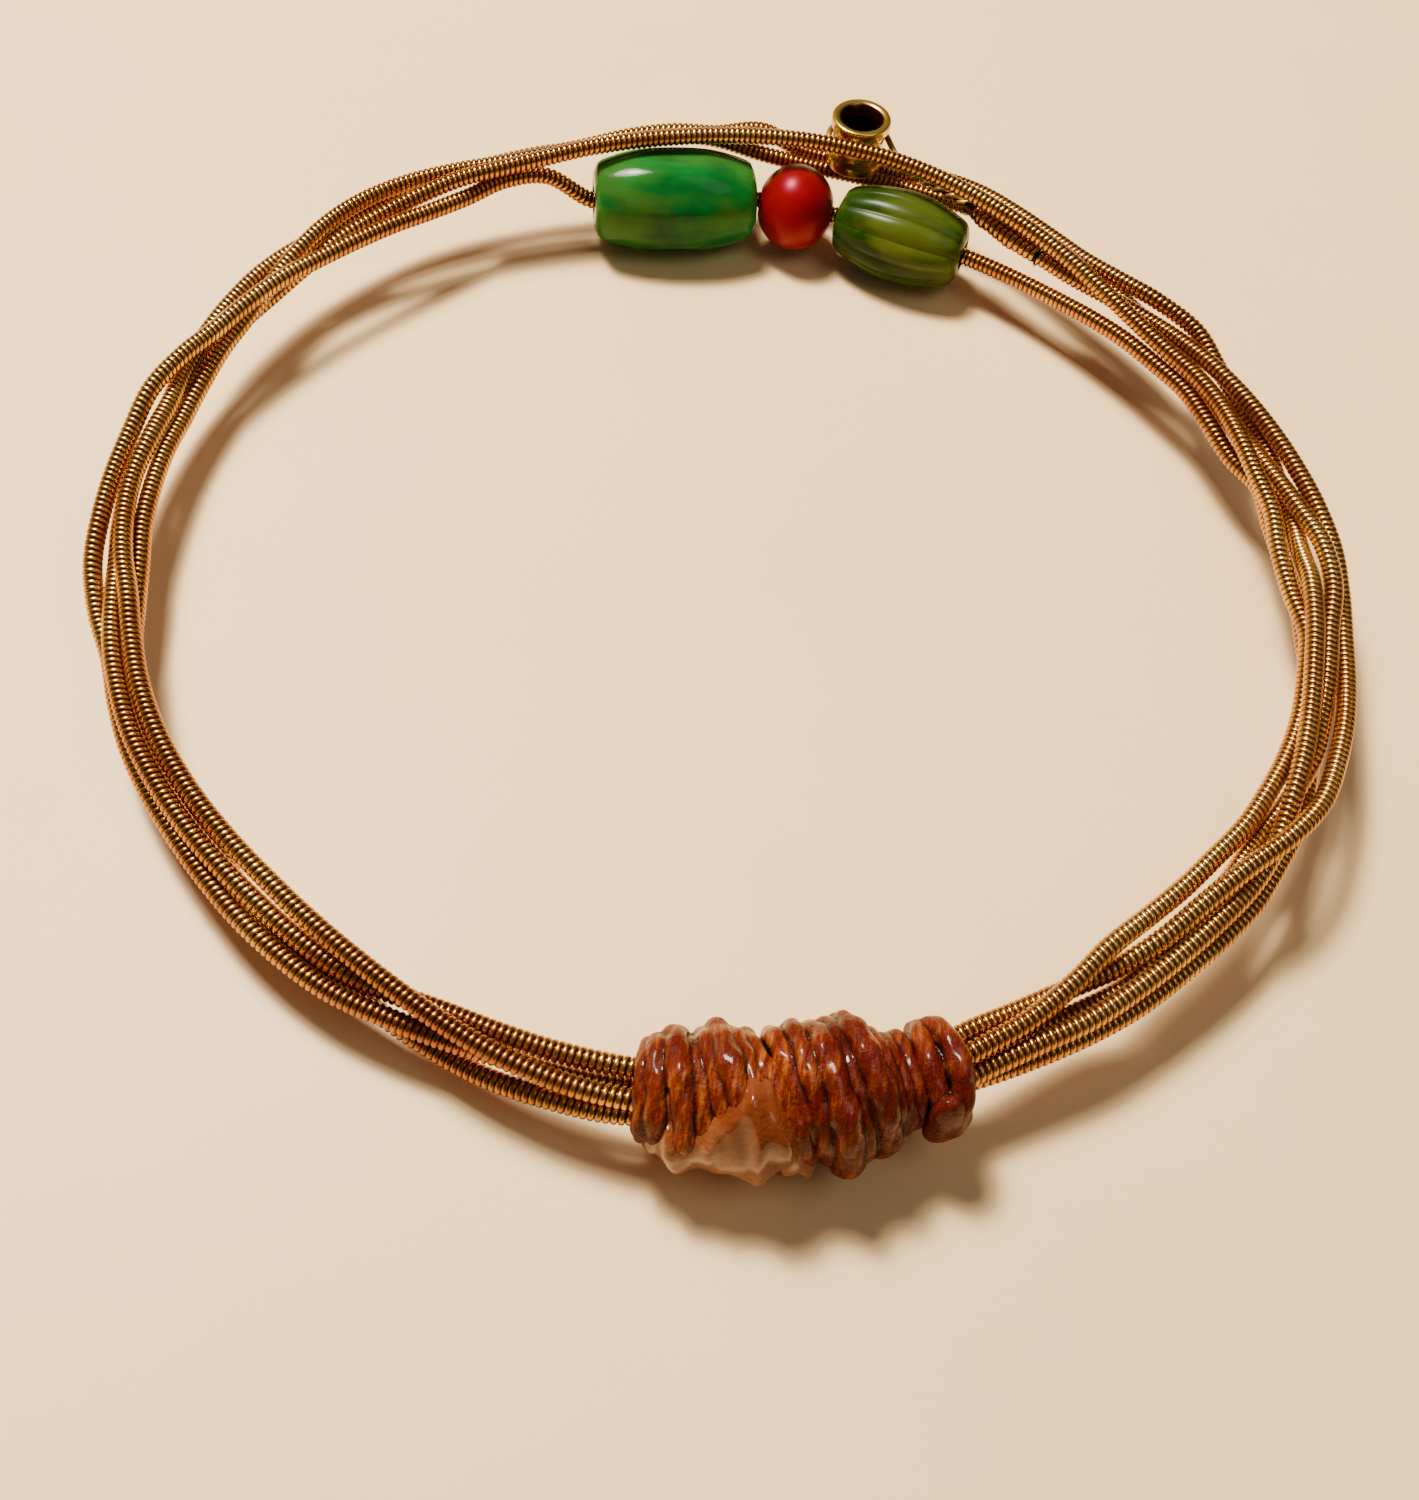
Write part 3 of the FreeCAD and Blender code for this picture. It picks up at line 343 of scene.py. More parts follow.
def make_object(name, points, faces, material, smooth=True, crest=None):
    """A mesh object from points in millimetres.

    Crest, from 0 to 1, is how near each point is to the top of a ridge, or on the ball end how
    far out of its bore it is; the looks paint shade where it is low.
    """
    mesh = bpy.data.meshes.new(name)
    if isinstance(faces, np.ndarray):
        faces = faces.tolist()
    mesh.from_pydata((np.asarray(points) * MM).tolist(), [], faces)
    mesh.polygons.foreach_set("use_smooth", [smooth] * len(mesh.polygons))
    if crest is not None:
        layer = mesh.attributes.new("crest", "FLOAT", "POINT")
        layer.data.foreach_set("value", np.asarray(crest, np.float32))
    mesh.materials.append(material)
    mesh.update()
    return link(name, mesh)


def run_along(points):
    """How far along their line each of some points is."""
    steps = np.linalg.norm(np.diff(points, axis=0), axis=1)
    return np.concatenate([[0], np.cumsum(steps)])


def smooth_line(points, spacing):
    """Points closely spaced along a smooth line through some corners."""
    points = [np.array(p, float) for p in points]
    padded = [2 * points[0] - points[1]] + points + [2 * points[-1] - points[-2]]
    dense = []
    for before, start, end, after in zip(padded, padded[1:], padded[2:], padded[3:]):
        first, middle, last = [
            math.sqrt(max(np.linalg.norm(b - a), 1e-6))
            for a, b in ((before, start), (start, end), (end, after))]
        lead = ((start - before) / first - (end - before) / (first + middle)
                + (end - start) / middle) * middle
        trail = ((end - start) / middle - (after - start) / (middle + last)
                 + (after - end) / last) * middle
        for part in np.linspace(0, 1, 24, endpoint=False):
            dense.append(curve(part, start, end, lead, trail))
    dense.append(points[-1])
    dense = np.array(dense)
    run = run_along(dense)
    count = max(int(run[-1] / spacing), 2)
    at = np.linspace(0, run[-1], count + 1)
    return np.stack([np.interp(at, run, dense[:, axis]) for axis in range(3)], 1)


def angles(sides):
    """Angles of the sides of a round section."""
    return np.arange(sides) * 2 * math.pi / sides


class Line:
    """A line with its length and a frame that doesn't twist along it."""

    def __init__(self, points):
        self.points = np.asarray(points, float)
        self.run = run_along(self.points)
        self.length = self.run[-1]
        heading = np.gradient(self.points, axis=0)
        heading /= np.linalg.norm(heading, axis=1)[:, None]
        side = np.cross(heading[0], [0.0, 0.0, 1.0])
        if np.linalg.norm(side) < 0.1:
            side = np.cross(heading[0], [1.0, 0.0, 0.0])
        sides = []
        for direction in heading:
            side = side - direction * (side @ direction)
            side = side / np.linalg.norm(side)
            sides.append(side)
        self.side = np.array(sides)
        self.rise = np.cross(self.side, heading)

    def at(self, where, angle, radius):
        """Points at some lengths along the line, turned and moved out by radius."""
        centre, side, rise = [
            np.stack([np.interp(where, self.run, table[:, axis]) for axis in range(3)], -1)
            for table in (self.points, self.side, self.rise)]
        swing = side * np.cos(angle)[..., None] + rise * np.sin(angle)[..., None]
        return centre + swing * np.asarray(radius)[..., None]


def grid_faces(rows, columns, closed_round=True, closed_along=False):
    """Four-sided faces of a grid of points, rows along and columns round."""
    row = np.arange(rows if closed_along else rows - 1)
    column = np.arange(columns if closed_round else columns - 1)
    i, j = np.meshgrid(row, column, indexing="ij")
    after_i, after_j = (i + 1) % rows, (j + 1) % columns
    return np.stack([i * columns + j, i * columns + after_j,
                     after_i * columns + after_j, after_i * columns + j], -1).reshape(-1, 4)


def round_tube(line, sides, rows, reach):
    """Points and faces of a capped tube whose radius is given by reach."""
    along, round_angle = np.meshgrid(np.linspace(0, line.length, rows), angles(sides),
                                     indexing="ij")
    points = line.at(along, round_angle, reach(along, round_angle)).reshape(-1, 3)
    caps = [list(range(sides))[::-1], list(range((rows - 1) * sides, rows * sides))]
    return points, grid_faces(rows, sides).tolist() + caps


def wound_mesh(line, outside, bore, wire, pitch, sides, swell=None):
    """A wire wound closely along a line, as one ridged strip, with its bore inside.

    Returns the points, faces and how near each point is to the crest of the wire.
    """
    profile = np.array([-0.5, -0.36, -0.16, 0.08, 0.30, 0.43])
    rise = np.sqrt(np.maximum(0.25 - (profile * 0.985) ** 2, 0))
    per_wrap = len(profile)
    wraps = int(line.length / pitch) - 1
    rows = wraps * per_wrap
    column = np.arange(sides + 1)
    i, j = np.meshgrid(np.arange(rows), column, indexing="ij")
    wrap, place = i // per_wrap, i % per_wrap
    where = pitch * (wrap + 0.5 + profile[place] + j / sides)
    reach = outside / 2 - wire / 2 + wire * rise[place]
    if swell is not None:
        reach = reach * swell(where)
    angle = j * 2 * math.pi / sides
    outer = line.at(where, angle, reach).reshape(-1, 3)
    crest = (rise[place] * 2).reshape(-1)
    faces = grid_faces(rows, sides + 1, closed_round=False)
    rings = max(int(line.length / BORE_SPACING), 2)
    at, turn = np.meshgrid(np.linspace(END_INSET, line.length - END_INSET, rings),
                           angles(sides), indexing="ij")
    inner = line.at(at, turn, np.full(at.shape, bore / 2)).reshape(-1, 3)
    inner_faces = grid_faces(rings, sides)[:, ::-1] + len(outer)
    points = [outer, inner]
    all_faces = [faces, inner_faces]
    total = len(outer) + len(inner)
    for end, first_row in ((0, 0), (-1, (rings - 1) * sides)):
        rim_at = np.full(sides, END_INSET if end == 0 else line.length - END_INSET)
        rim = line.at(rim_at, angles(sides), np.full(sides, outside / 2 - RIM_INSET))
        around = np.arange(sides)
        following = (around + 1) % sides
        ring = np.stack([total + around, total + following,
                         len(outer) + first_row + following,
                         len(outer) + first_row + around], -1)
        all_faces.append(ring if end else ring[:, ::-1])
        points.append(rim)
        total += sides
    # The bore and the end rims get crest 0, so they are painted dark as shade.
    crest = np.concatenate([crest, np.zeros(total - len(crest))])
    return np.concatenate(points), np.concatenate(all_faces), crest


# ---------------------------------------------------------------- materials

class Look:
    """A procedural material under construction."""

    def __init__(self, name):
        self.material = bpy.data.materials.new(name)
        self.material.use_nodes = True
        self.nodes = self.material.node_tree.nodes
        self.links = self.material.node_tree.links
        self.shader = self.nodes["Principled BSDF"]
        self.coordinates = self.nodes.new("ShaderNodeTexCoord")

    def node(self, kind, **values):
        """A new node, with some of its inputs or settings given."""
        made = self.nodes.new("ShaderNode" + kind)
        for key, value in values.items():
            if key in made.inputs:
                made.inputs[key].default_value = value
            else:
                setattr(made, key, value)
        return made

    def feed(self, socket, value):
        """Give a socket a number, a colour or another node's output."""
        if isinstance(value, (int, float)):
            socket.default_value = value
        elif isinstance(value, tuple):
            socket.default_value = (*value, 1)
        else:
            self.links.new(value, socket)

    def noise(self, scale, detail=4.0, roughness=0.6, vector=None):
        made = self.node("TexNoise", Scale=scale, Detail=detail, Roughness=roughness)
        self.links.new(vector or self.coordinates.outputs["Object"], made.inputs["Vector"])
        return made.outputs["Fac"]

    def ramp(self, source, stops):
        """A ramp through (place, colour) stops; a colour can be one number, for a grey."""
        made = self.node("ValToRGB")
        band = made.color_ramp
        while len(band.elements) < len(stops):
            band.elements.new(0.5)
        for element, (place, colour) in zip(band.elements, stops):
            element.position = place
            element.color = (*colour, 1) if isinstance(colour, tuple) else (colour,) * 3 + (1,)
        self.links.new(source, made.inputs["Fac"])
        return made.outputs["Color"]

    def mix(self, factor, one, other):
        """One colour where the factor is 0, and the other where it is 1."""
        made = self.node("Mix", data_type="RGBA", blend_type="MIX")
        for place, value in ((0, factor), (6, one), (7, other)):
            self.feed(made.inputs[place], value)
        return made.outputs[2]

    def arithmetic(self, operation, one, other):
        made = self.node("Math", operation=operation)
        self.feed(made.inputs[0], one)
        self.feed(made.inputs[1], other)
        return made.outputs[0]

    def attribute(self, name):
        return self.node("Attribute", attribute_name=name).outputs["Fac"]

    def place(self, axis):
        """How far along an axis a point of the surface is, in metres."""
        apart = self.node("SeparateXYZ")
        self.links.new(self.coordinates.outputs["Object"], apart.inputs["Vector"])
        return apart.outputs[axis]

    def bump(self, height, strength, distance):
        made = self.node("Bump", Strength=strength, Distance=distance)
        self.links.new(height, made.inputs["Height"])
        self.links.new(made.outputs["Normal"], self.shader.inputs["Normal"])

    def stretched(self, heading, scale):
        """Object coordinates turned about Z by some degrees, then scaled along each axis."""
        made = self.node("Mapping", Rotation=(0.0, 0.0, math.radians(heading)), Scale=scale)
        self.links.new(self.coordinates.outputs["Object"], made.inputs["Vector"])
        return made.outputs["Vector"]

    def set(self, **values):
        """Feed the shader's inputs."""
        for key, value in values.items():
            self.feed(self.shader.inputs[key.replace("_", " ")], value)


def bronze_look():
    look = Look("bronze_winding")
    crest = look.attribute("crest")
    tarnish = look.noise(260.0, 5.0, 0.65)
    patch = look.noise(60.0, 3.0, 0.6)
    metal = look.ramp(patch, [(0.3, (0.42, 0.12, 0.012)), (0.5, (0.68, 0.29, 0.038)),
                              (0.7, (0.92, 0.54, 0.12))])
    worn = look.mix(look.ramp(tarnish, [(0.4, 0), (0.75, 0.7)]), metal, (0.20, 0.035, 0.006))
    # Where crest is low, in the valleys between the wraps and in the bore and end rims, the wire
    # is painted near black: painted shade, with some dark patina in the valleys.
    depth = look.ramp(crest, [(0.0, 0), (0.55, 0.10), (0.95, 1)])
    look.set(Base_Color=look.mix(depth, (0.022, 0.002, 0.0005), worn), Metallic=0.96)
    rough = look.ramp(tarnish, [(0.3, 0.20), (0.75, 0.36)])
    look.set(Roughness=rough, Coat_Weight=0.5, Coat_Roughness=0.20, Coat_IOR=1.3)
    look.bump(look.noise(2600.0, 3.0), 0.12, 0.00003)
    return look.material


def steel_look():
    look = Look("steel_core")
    streak = look.noise(900.0, 4.0)
    # The steel is tinted warm gold, not its own silver grey: painted reflection.
    tint = look.ramp(streak, [(0.3, (0.26, 0.10, 0.02)), (0.7, (0.60, 0.34, 0.11))])
    look.set(Base_Color=tint, Metallic=0.95,
             Roughness=look.ramp(streak, [(0.3, 0.3), (0.7, 0.5)]))
    return look.material


def brass_look():
    look = Look("ball_brass")
    stain = look.noise(420.0, 5.0)
    tint = look.ramp(stain, [(0.3, (0.20, 0.08, 0.01)), (0.5, (0.64, 0.40, 0.06)),
                             (0.72, (0.95, 0.74, 0.18))])
    # Inside the bore and its mouth, where crest is low, the brass is painted near black: painted
    # shade in the hole.
    outside = look.ramp(look.attribute("crest"), [(0.1, 0), (0.8, 1)])
    look.set(Base_Color=look.mix(outside, (0.045, 0.006, 0.002), tint), Metallic=0.95,
             Roughness=look.ramp(stain, [(0.3, 0.34), (0.7, 0.16)]))
    look.bump(look.noise(1500.0, 3.0), 0.14, 0.00004)
    return look.material


def green_look(name, deep, pale, lit_patch_colour, lit_patch_share, heading, band, roughness):
    """Streaky green glass, its streaks painted in another colour only between two heights, as
    painted light.
    """
    look = Look(name)
    streak = look.noise(1.0, 3.0, 0.5, look.stretched(heading, (130.0, 420.0, 420.0)))
    body = look.ramp(look.noise(170.0, 4.0, 0.6), [(0.3, deep), (0.62, pale)])
    # The streaks are the glass's own, but their paler colour is painted only between the heights
    # in band: painted light.
    share = look.ramp(streak, [(0.43, 0.08), (0.60, lit_patch_share)])
    inside = look.ramp(look.place("Z"), list(zip(band, (0, 1, 1, 0))))
    share = look.arithmetic("MULTIPLY", share, inside)
    look.set(Base_Color=look.mix(share, body, lit_patch_colour), Roughness=roughness, IOR=1.36,
             Specular_IOR_Level=0.06, Transmission_Weight=0.28)
    look.bump(look.noise(500.0, 3.0), 0.22, 0.00006)
    return look.material


def red_look():
    look = Look("red_satin")
    cloud = look.noise(240.0, 4.0)
    look.set(Base_Color=look.ramp(cloud, [(0.3, (0.10, 0.0, 0.0)), (0.7, (0.20, 0.0, 0.0003))]),
             Roughness=0.34, Specular_Tint=(1.0, 0.1, 0.25), Specular_IOR_Level=0.4)
    look.bump(look.noise(900.0, 3.0), 0.06, 0.00005)
    return look.material


def cord_look():
    look = Look("resin_cord")
    fibre = look.noise(1.0, 4.0, 0.65, look.stretched(-14, (3600.0, 700.0, 700.0)))
    # Darker in random patches, and more so over the right-hand wraps at larger X.
    right_side = look.ramp(look.place("X"), [(0.005, 0), (0.010, 0.16)])
    dark_patches_and_right = look.arithmetic("ADD", look.noise(300.0, 4.0), right_side)
    tint = look.ramp(fibre, [(0.3, (0.045, 0.002, 0.001)), (0.5, (0.15, 0.017, 0.0015)),
                             (0.68, (0.38, 0.095, 0.012))])
    deep = look.ramp(dark_patches_and_right, [(0.38, 0), (0.68, 0.85)])
    body = look.mix(deep, tint, (0.065, 0.003, 0.001))
    # Where crest is low, in the creases between the wraps, the cord is painted near black:
    # painted shade.
    crease_shade = look.ramp(look.attribute("crest"), [(0.15, 1), (0.55, 0)])
    wet = look.ramp(look.noise(1100.0, 3.0), [(0.44, 0.25), (0.56, 1)])
    upper = look.ramp(look.place("Z"), [(0.0036, 0.06), (0.0058, 1)])
    wet = look.arithmetic("MULTIPLY", wet, upper)
    look.set(Base_Color=look.mix(crease_shade, body, (0.012, 0.001, 0.0005)), Roughness=0.42,
             Specular_IOR_Level=0.06, Coat_Weight=wet, Coat_Roughness=0.11, Coat_IOR=1.36)
    fuzz = look.arithmetic("MULTIPLY", fibre, 0.6)
    look.bump(look.arithmetic("ADD", fuzz, look.noise(1500.0, 3.0)), 0.9, 0.00022)
    return look.material


def glue_look():
    look = Look("dried_glue")
    cloud = look.noise(380.0, 5.0, 0.65)
    milk = look.noise(210.0, 3.0, 0.5)
    tint = look.ramp(cloud, [(0.3, (0.11, 0.016, 0.003)), (0.48, (0.23, 0.065, 0.014)),
                             (0.66, (0.36, 0.15, 0.055))])
    pale = look.ramp(milk, [(0.5, 0), (0.72, 0.65)])
    # Where crest is low, in the creases, the glue is painted dark: painted shade.
    crease_shade = look.ramp(look.attribute("crest"), [(0.1, 1), (0.5, 0)])
    body = look.mix(pale, tint, (0.38, 0.19, 0.08))
    wet = look.ramp(look.place("Z"), [(0.0010, 0.1), (0.0030, 1)])
    upper = look.ramp(look.place("Z"), [(0.0030, 0), (0.0062, 0.9)])
    body = look.mix(upper, body, (0.13, 0.022, 0.003))
    look.set(Base_Color=look.mix(crease_shade, body, (0.09, 0.015, 0.004)), Roughness=0.32,
             Specular_IOR_Level=0.06, Coat_Weight=wet, Coat_Roughness=0.11, Coat_IOR=1.42,
             Subsurface_Weight=0.15)
    look.shader.inputs["Subsurface Radius"].default_value = (0.0009, 0.0004, 0.0002)
    look.bump(look.noise(1200.0, 3.0), 0.8, 0.00022)
    return look.material


BRONZE = bronze_look()
STEEL = steel_look()
BRASS = brass_look()
# On the left bead the paler streaks stand for the string seen through the glass and for
# highlights: painted light.
LEFT_GREEN = green_look("left_green_glass", (0.0, 0.045, 0.011), (0.0005, 0.15, 0.022),
                        (0.22, 0.30, 0.02), 0.85, 12.0, (0.0036, 0.0046, 0.0058, 0.0064), 0.13)
# On the right bead the paler streaks, low and across its middle, are painted highlight.
RIGHT_GREEN = green_look("right_green_glass", (0.002, 0.018, 0.002), (0.010, 0.045, 0.003),
                         (0.13, 0.16, 0.015), 0.80, -16.0, (0.0018, 0.0028, 0.0042, 0.0050), 0.27)
RED = red_look()
RESIN = cord_look()
GLUE = glue_look()

# ---------------------------------------------------------------- the string

turns = settle_turns()


def bead_corner(bearing):
    """Where the string bends at one end of a bead."""
    return [bearing] + smooth_value(TURN_ROUTES[THREADED_TURN], bearing)


def turn_line(name):
    """The smooth line of a turn, trimmed at the binding."""
    places = turns[name]
    if name == THREADED_TURN:
        corners = sorted(set(LEFT_BEAD_RUN + RED_BEAD_RUN + RIGHT_BEAD_RUN))
        before, after = corners[0] - CORNER_MARGIN, corners[-1] + CORNER_MARGIN
        places = ([place for place in places if place[0] < before]
                  + [bead_corner(bearing) for bearing in corners]
                  + [place for place in places if place[0] > after])
    points = [ring_point(*place) for place in places]
    if name == "string_turn_1":
        points = points[:1 + int((OVERWOUND_FROM - KNOT) / STEP)]
    if name == THREADED_TURN:
        first = [place[0] for place in places].index(RIGHT_BEAD_RUN[0])
        eased = []
        for index, (start, end) in enumerate(zip(points, points[1:])):
            eased.append(start)
            if first <= index < first + BEADS:
                eased += [start + (end - start) * part for part in STRAIGHT_PARTS]
        points = eased + [points[-1]]
    for end, neighbour in ((0, 1), (-1, -2)):
        inward = points[neighbour] - points[end]
        points[end] = points[end] + inward / np.linalg.norm(inward) * END_GAP / 2
    return Line(smooth_line(points, LINE_SPACING))


for number in range(1, 6):
    line = turn_line("string_turn_%d" % number)
    points, faces, crest = wound_mesh(line, STRING, BORE, WIRE, WRAP_PITCH, WINDING_SIDES)
    winding = make_object("winding_%d" % number, points, faces, BRONZE, crest=crest)
    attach(winding, "bracelet")
    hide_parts("turn_%d_winding" % number)
    paint(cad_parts["turn_%d_core" % number].data, STEEL)

# The double winding over the twist beside the ball end, uneven as wound.
cover = [ring_point(*place) for place in turns["string_turn_1"]
         if place[0] >= OVERWOUND_FROM]
heading = (cover[1] - cover[0]) / np.linalg.norm(cover[1] - cover[0])
cover[0] = cover[0] - heading * OVERWOUND_OVERLAP
line = Line(smooth_line(cover, OVERWOUND_SPACING))


def uneven(where):
    """Scale of the double winding: it runs out thin at both of its ends."""
    start_taper, end_taper, start_size, end_size = 1.3, 1.6, 0.80, 0.62
    start = np.clip(where / start_taper, 0, 1)
    end = np.sqrt(np.clip((line.length - where) / end_taper, 0, 1))
    waves = 0.05 * (1 - np.cos(where * 2.6)) + 0.03 * (1 - np.cos(where * 5.3 + 1))
    return ((1 - waves) * (start_size + (1 - start_size) * start)
            * (end_size + (1 - end_size) * end))


points, faces, crest = wound_mesh(line, OVERWOUND, OVERWOUND_BORE, OVERWOUND_WIRE,
                                  OVERWOUND_PITCH, OVERWOUND_SIDES, uneven)
overwound = make_object("overwound_end_wire", points, faces, BRONZE, crest=crest)
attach(overwound, "bracelet")
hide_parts("overwound_end")

paint(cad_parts["core_loop"].data, STEEL)

# ---------------------------------------------------------------- ball end


def turned(name, profile, sides, material, placement, ripple=None, shade=None):
    """A turned piece from a closed (radius, height) profile round Z, then placed."""
    profile = np.asarray(profile, float)
    radius, turn = np.meshgrid(profile[:, 0], angles(sides), indexing="ij")
    height = np.repeat(profile[:, 1][:, None], sides, 1)
    if ripple is not None:
        radius = radius * ripple(turn, height, radius)
    points = np.stack([radius * np.cos(turn), radius * np.sin(turn), height], -1)
    points = points.reshape(-1, 3)
    faces = grid_faces(len(profile), sides, closed_along=True)
    placed = [placement @ Vector(point) for point in points]
    crest = None if shade is None else np.repeat(shade, sides)
    return make_object(name, placed, faces, material, crest=crest)


def rounded_corner(profile, radius, steps=5):
    """A closed profile with each of its corners rounded."""
    result = []
    count = len(profile)
    for index in range(count):
        before, corner, after = [np.array(profile[(index + shift) % count], float)
                                 for shift in (-1, 0, 1)]
        back, ahead = before - corner, after - corner
        reach = min(radius, 0.42 * np.linalg.norm(back), 0.42 * np.linalg.norm(ahead))
        start = corner + back / np.linalg.norm(back) * reach
        end = corner + ahead / np.linalg.norm(ahead) * reach
        for part in np.linspace(0, 1, steps):
            result.append((1 - part) ** 2 * start + 2 * part * (1 - part) * corner
                          + part ** 2 * end)
    return result


bore, mouth, rim, waist = BALL_BORE / 2, BALL_MOUTH / 2, BALL_DIAMETER / 2, BALL_WAIST / 2
spool = rounded_corner([
    (bore, MOUTH_DEPTH), (mouth, 0), (rim, 0), (rim, BALL_RIM),
    (waist, GROOVE_START), (waist, BALL_LENGTH - GROOVE_START),
    (rim, BALL_LENGTH - BALL_RIM), (rim, BALL_LENGTH),
    (mouth, BALL_LENGTH), (bore, BALL_LENGTH - MOUTH_DEPTH)], BALL_ROUNDING)
base = ring_point(BALL_BEARING, BALL_DISTANCE, BALL_BASE)
# The shade list is 0 in the bore and its mouth, where the brass look paints shade.
ball = turned("ball_spool", spool, BALL_SIDES, BRASS, Matrix.Translation(Vector(base)),
              shade=[min(max((radius - mouth + 0.1) / 0.2, 0.0), 1.0) for radius, _ in spool])
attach(ball, "ball")
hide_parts("ball_end")

# ---------------------------------------------------------------- beads

BORE_WALL = BEAD_BORE / 2 + 0.05         # radius outside which a bead is shaped


def bead_placement(run, length):
    """Places a bead in the middle of its run, its X axis as straight down as it can be."""
    start, end = [Vector(ring_point(*bead_corner(bearing))) for bearing in run]
    heading = (end - start).normalized()
    side = heading.cross(Vector((0, 0, -1))).normalized()
    down = side.cross(heading)
    turn = Matrix((down, side, heading)).transposed().to_4x4()
    return Matrix.Translation((start + end) / 2 - heading * length / 2) @ turn


def barrel_profile(length, middle, end, rounding):
    """Closed profile of a bored barrel: out along one end, over, and back."""
    half, hole = length / 2, BEAD_BORE / 2
    rows = []
    for part in np.linspace(-1, 1, 41):
        radius = end + (middle - end) * (1 - part ** 2)
        rows.append((radius, half + part * half))
    corners = [(hole, 0.0)] + rows + [(hole, length)]
    result = []
    for radius, height in corners:
        inset = min(height, length - height)
        if inset < rounding and radius > hole + 0.01:
            drop = rounding - math.sqrt(max(rounding ** 2 - (rounding - inset) ** 2, 0))
            radius -= drop
        result.append((max(radius, hole), height))
    inside = [(hole, height) for height in np.linspace(length, 0, 12)[1:-1]]
    return result + inside


def eight_sides(turn, height, radius):
    """Scale that takes a round section to one with eight rounded sides."""
    sharpness = 12
    turn = (turn + math.pi / 8) % (math.pi / 4) - math.pi / 8
    side = LEFT_ACROSS / 2 / np.cos(turn)
    soft = -np.log(np.exp(-sharpness * side) + np.exp(-sharpness * radius)) / sharpness
    return np.where(radius > BORE_WALL, np.minimum(soft, radius) / radius, 1.0)


left = turned("left_bead_glass",
              barrel_profile(LEFT_LENGTH, LEFT_MIDDLE + 0.04, LEFT_END + 0.05, LEFT_ROUNDING),
              LEFT_SIDES, LEFT_GREEN, bead_placement(LEFT_BEAD_RUN, LEFT_LENGTH), eight_sides)
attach(left, "left_bead")
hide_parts("left_green_bead")

crowding, cut = 0.8, math.sqrt(1 - (BEAD_BORE / RED_ACROSS) ** 2)
parts = (np.sin(np.linspace(-math.pi / 2, math.pi / 2, 49) * crowding)
         / math.sin(crowding / 2 * math.pi) * cut)
round_profile = [(max(RED_ACROSS / 2 * math.sqrt(max(1 - part ** 2, 0)), BEAD_BORE / 2),
                  RED_LENGTH / 2 * (1 + part)) for part in parts]
low, high = round_profile[0][1], round_profile[-1][1]
round_profile += [(BEAD_BORE / 2, height) for height in np.linspace(high, low, 8)[1:-1]]
red = turned("red_bead_body", round_profile, RED_SIDES, RED,
             bead_placement(RED_BEAD_RUN, RED_LENGTH))
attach(red, "middle_bead")
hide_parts("red_bead")


def fluted(turn, height, radius):
    """Scale that presses twelve shallow grooves along a barrel."""
    grooves, groove_depth, unevenness = 12, 0.055, 0.006
    wave = np.abs(np.sin(turn * grooves / 2)) ** 0.7
    depth = groove_depth * (1 - wave) + unevenness * np.sin(turn * 5 + height * 1.3)
    return np.where(radius > BORE_WALL, 1 - depth, 1.0)


right = turned("right_bead_glass",
               barrel_profile(RIGHT_LENGTH, RIGHT_MIDDLE, RIGHT_END + 0.05, RIGHT_ROUNDING),
               RIGHT_SIDES, RIGHT_GREEN, bead_placement(RIGHT_BEAD_RUN, RIGHT_LENGTH), fluted)
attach(right, "right_bead")
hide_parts("right_green_bead")

# ---------------------------------------------------------------- binding

CAMERA_SIDE = 67.5     # angle round the binding that faces up and outward


def binding_point(bearing, radius, angle):
    """A point round the binding's axis; angle 0 is outward and 90 is up."""
    turn = math.radians(angle)
    return ring_point(bearing, BINDING_DISTANCE + radius * math.cos(turn),
                      BINDING_HEIGHT + radius * math.sin(turn))


def wound_cord(wraps):
    """A cord wound round the bundle through listed wraps, and its thickness.

    Each wrap is (bearing, radius to the cord's centre, lean, bow, lift, thickness).  Lean
    moves its inner side back along the bundle and its outer side on, bow moves its upper
    side on, and lift raises it inward.  The cord goes from wrap to wrap underneath.
    """
    points, thickness = [], []
    per_wrap, crossing = 36, 0.24        # places on a wrap, and its share underneath
    for step in range(len(wraps) * per_wrap + 1):
        place = step / per_wrap
        index = min(int(place), len(wraps) - 1)
        before = wraps[max(index - 1, 0)]
        part = min((place - index) / crossing, 1.0)
        part = part * part * (3 - 2 * part)
        bearing, radius, lean, bow, lift, thick = [
            one + (other - one) * part for one, other in zip(before, wraps[index])]
        from_top = math.radians(180 + 360 * place)
        bearing += bow * max(math.cos(from_top), -0.2) - lean * math.sin(from_top)
        radius += lift * math.sin(from_top)
        wobble = 0.08 * math.sin(place * 8.1 + 1) + 0.05 * math.sin(place * 19.7)
        points.append(binding_point(bearing, radius + wobble,
                                    CAMERA_SIDE + 180 + 360 * place))
        thickness.append(thick)
    return points, thickness


def plied_cord(points, thickness):
    """Points and faces of a cord of three plies along some points."""
    line = Line(smooth_line(points, CORD_SPACING))
    rows = int(line.length / CORD_SPACING)
    share = np.linspace(0, 1, len(thickness))
    plies, twist, groove = 3, 3.3, 0.13

    def reach(along, round_angle):
        width = np.interp(along / line.length, share, thickness)
        turn = round_angle * plies + along * twist
        lumps = 0.07 * np.sin(along * 1.9 + 0.7) + 0.05 * np.sin(along * 4.3 + 2.1)
        return width / 2 * (1 - groove * (1 - np.abs(np.cos(turn / 2))) + lumps)

    return round_tube(line, CORD_SIDES, rows, reach)


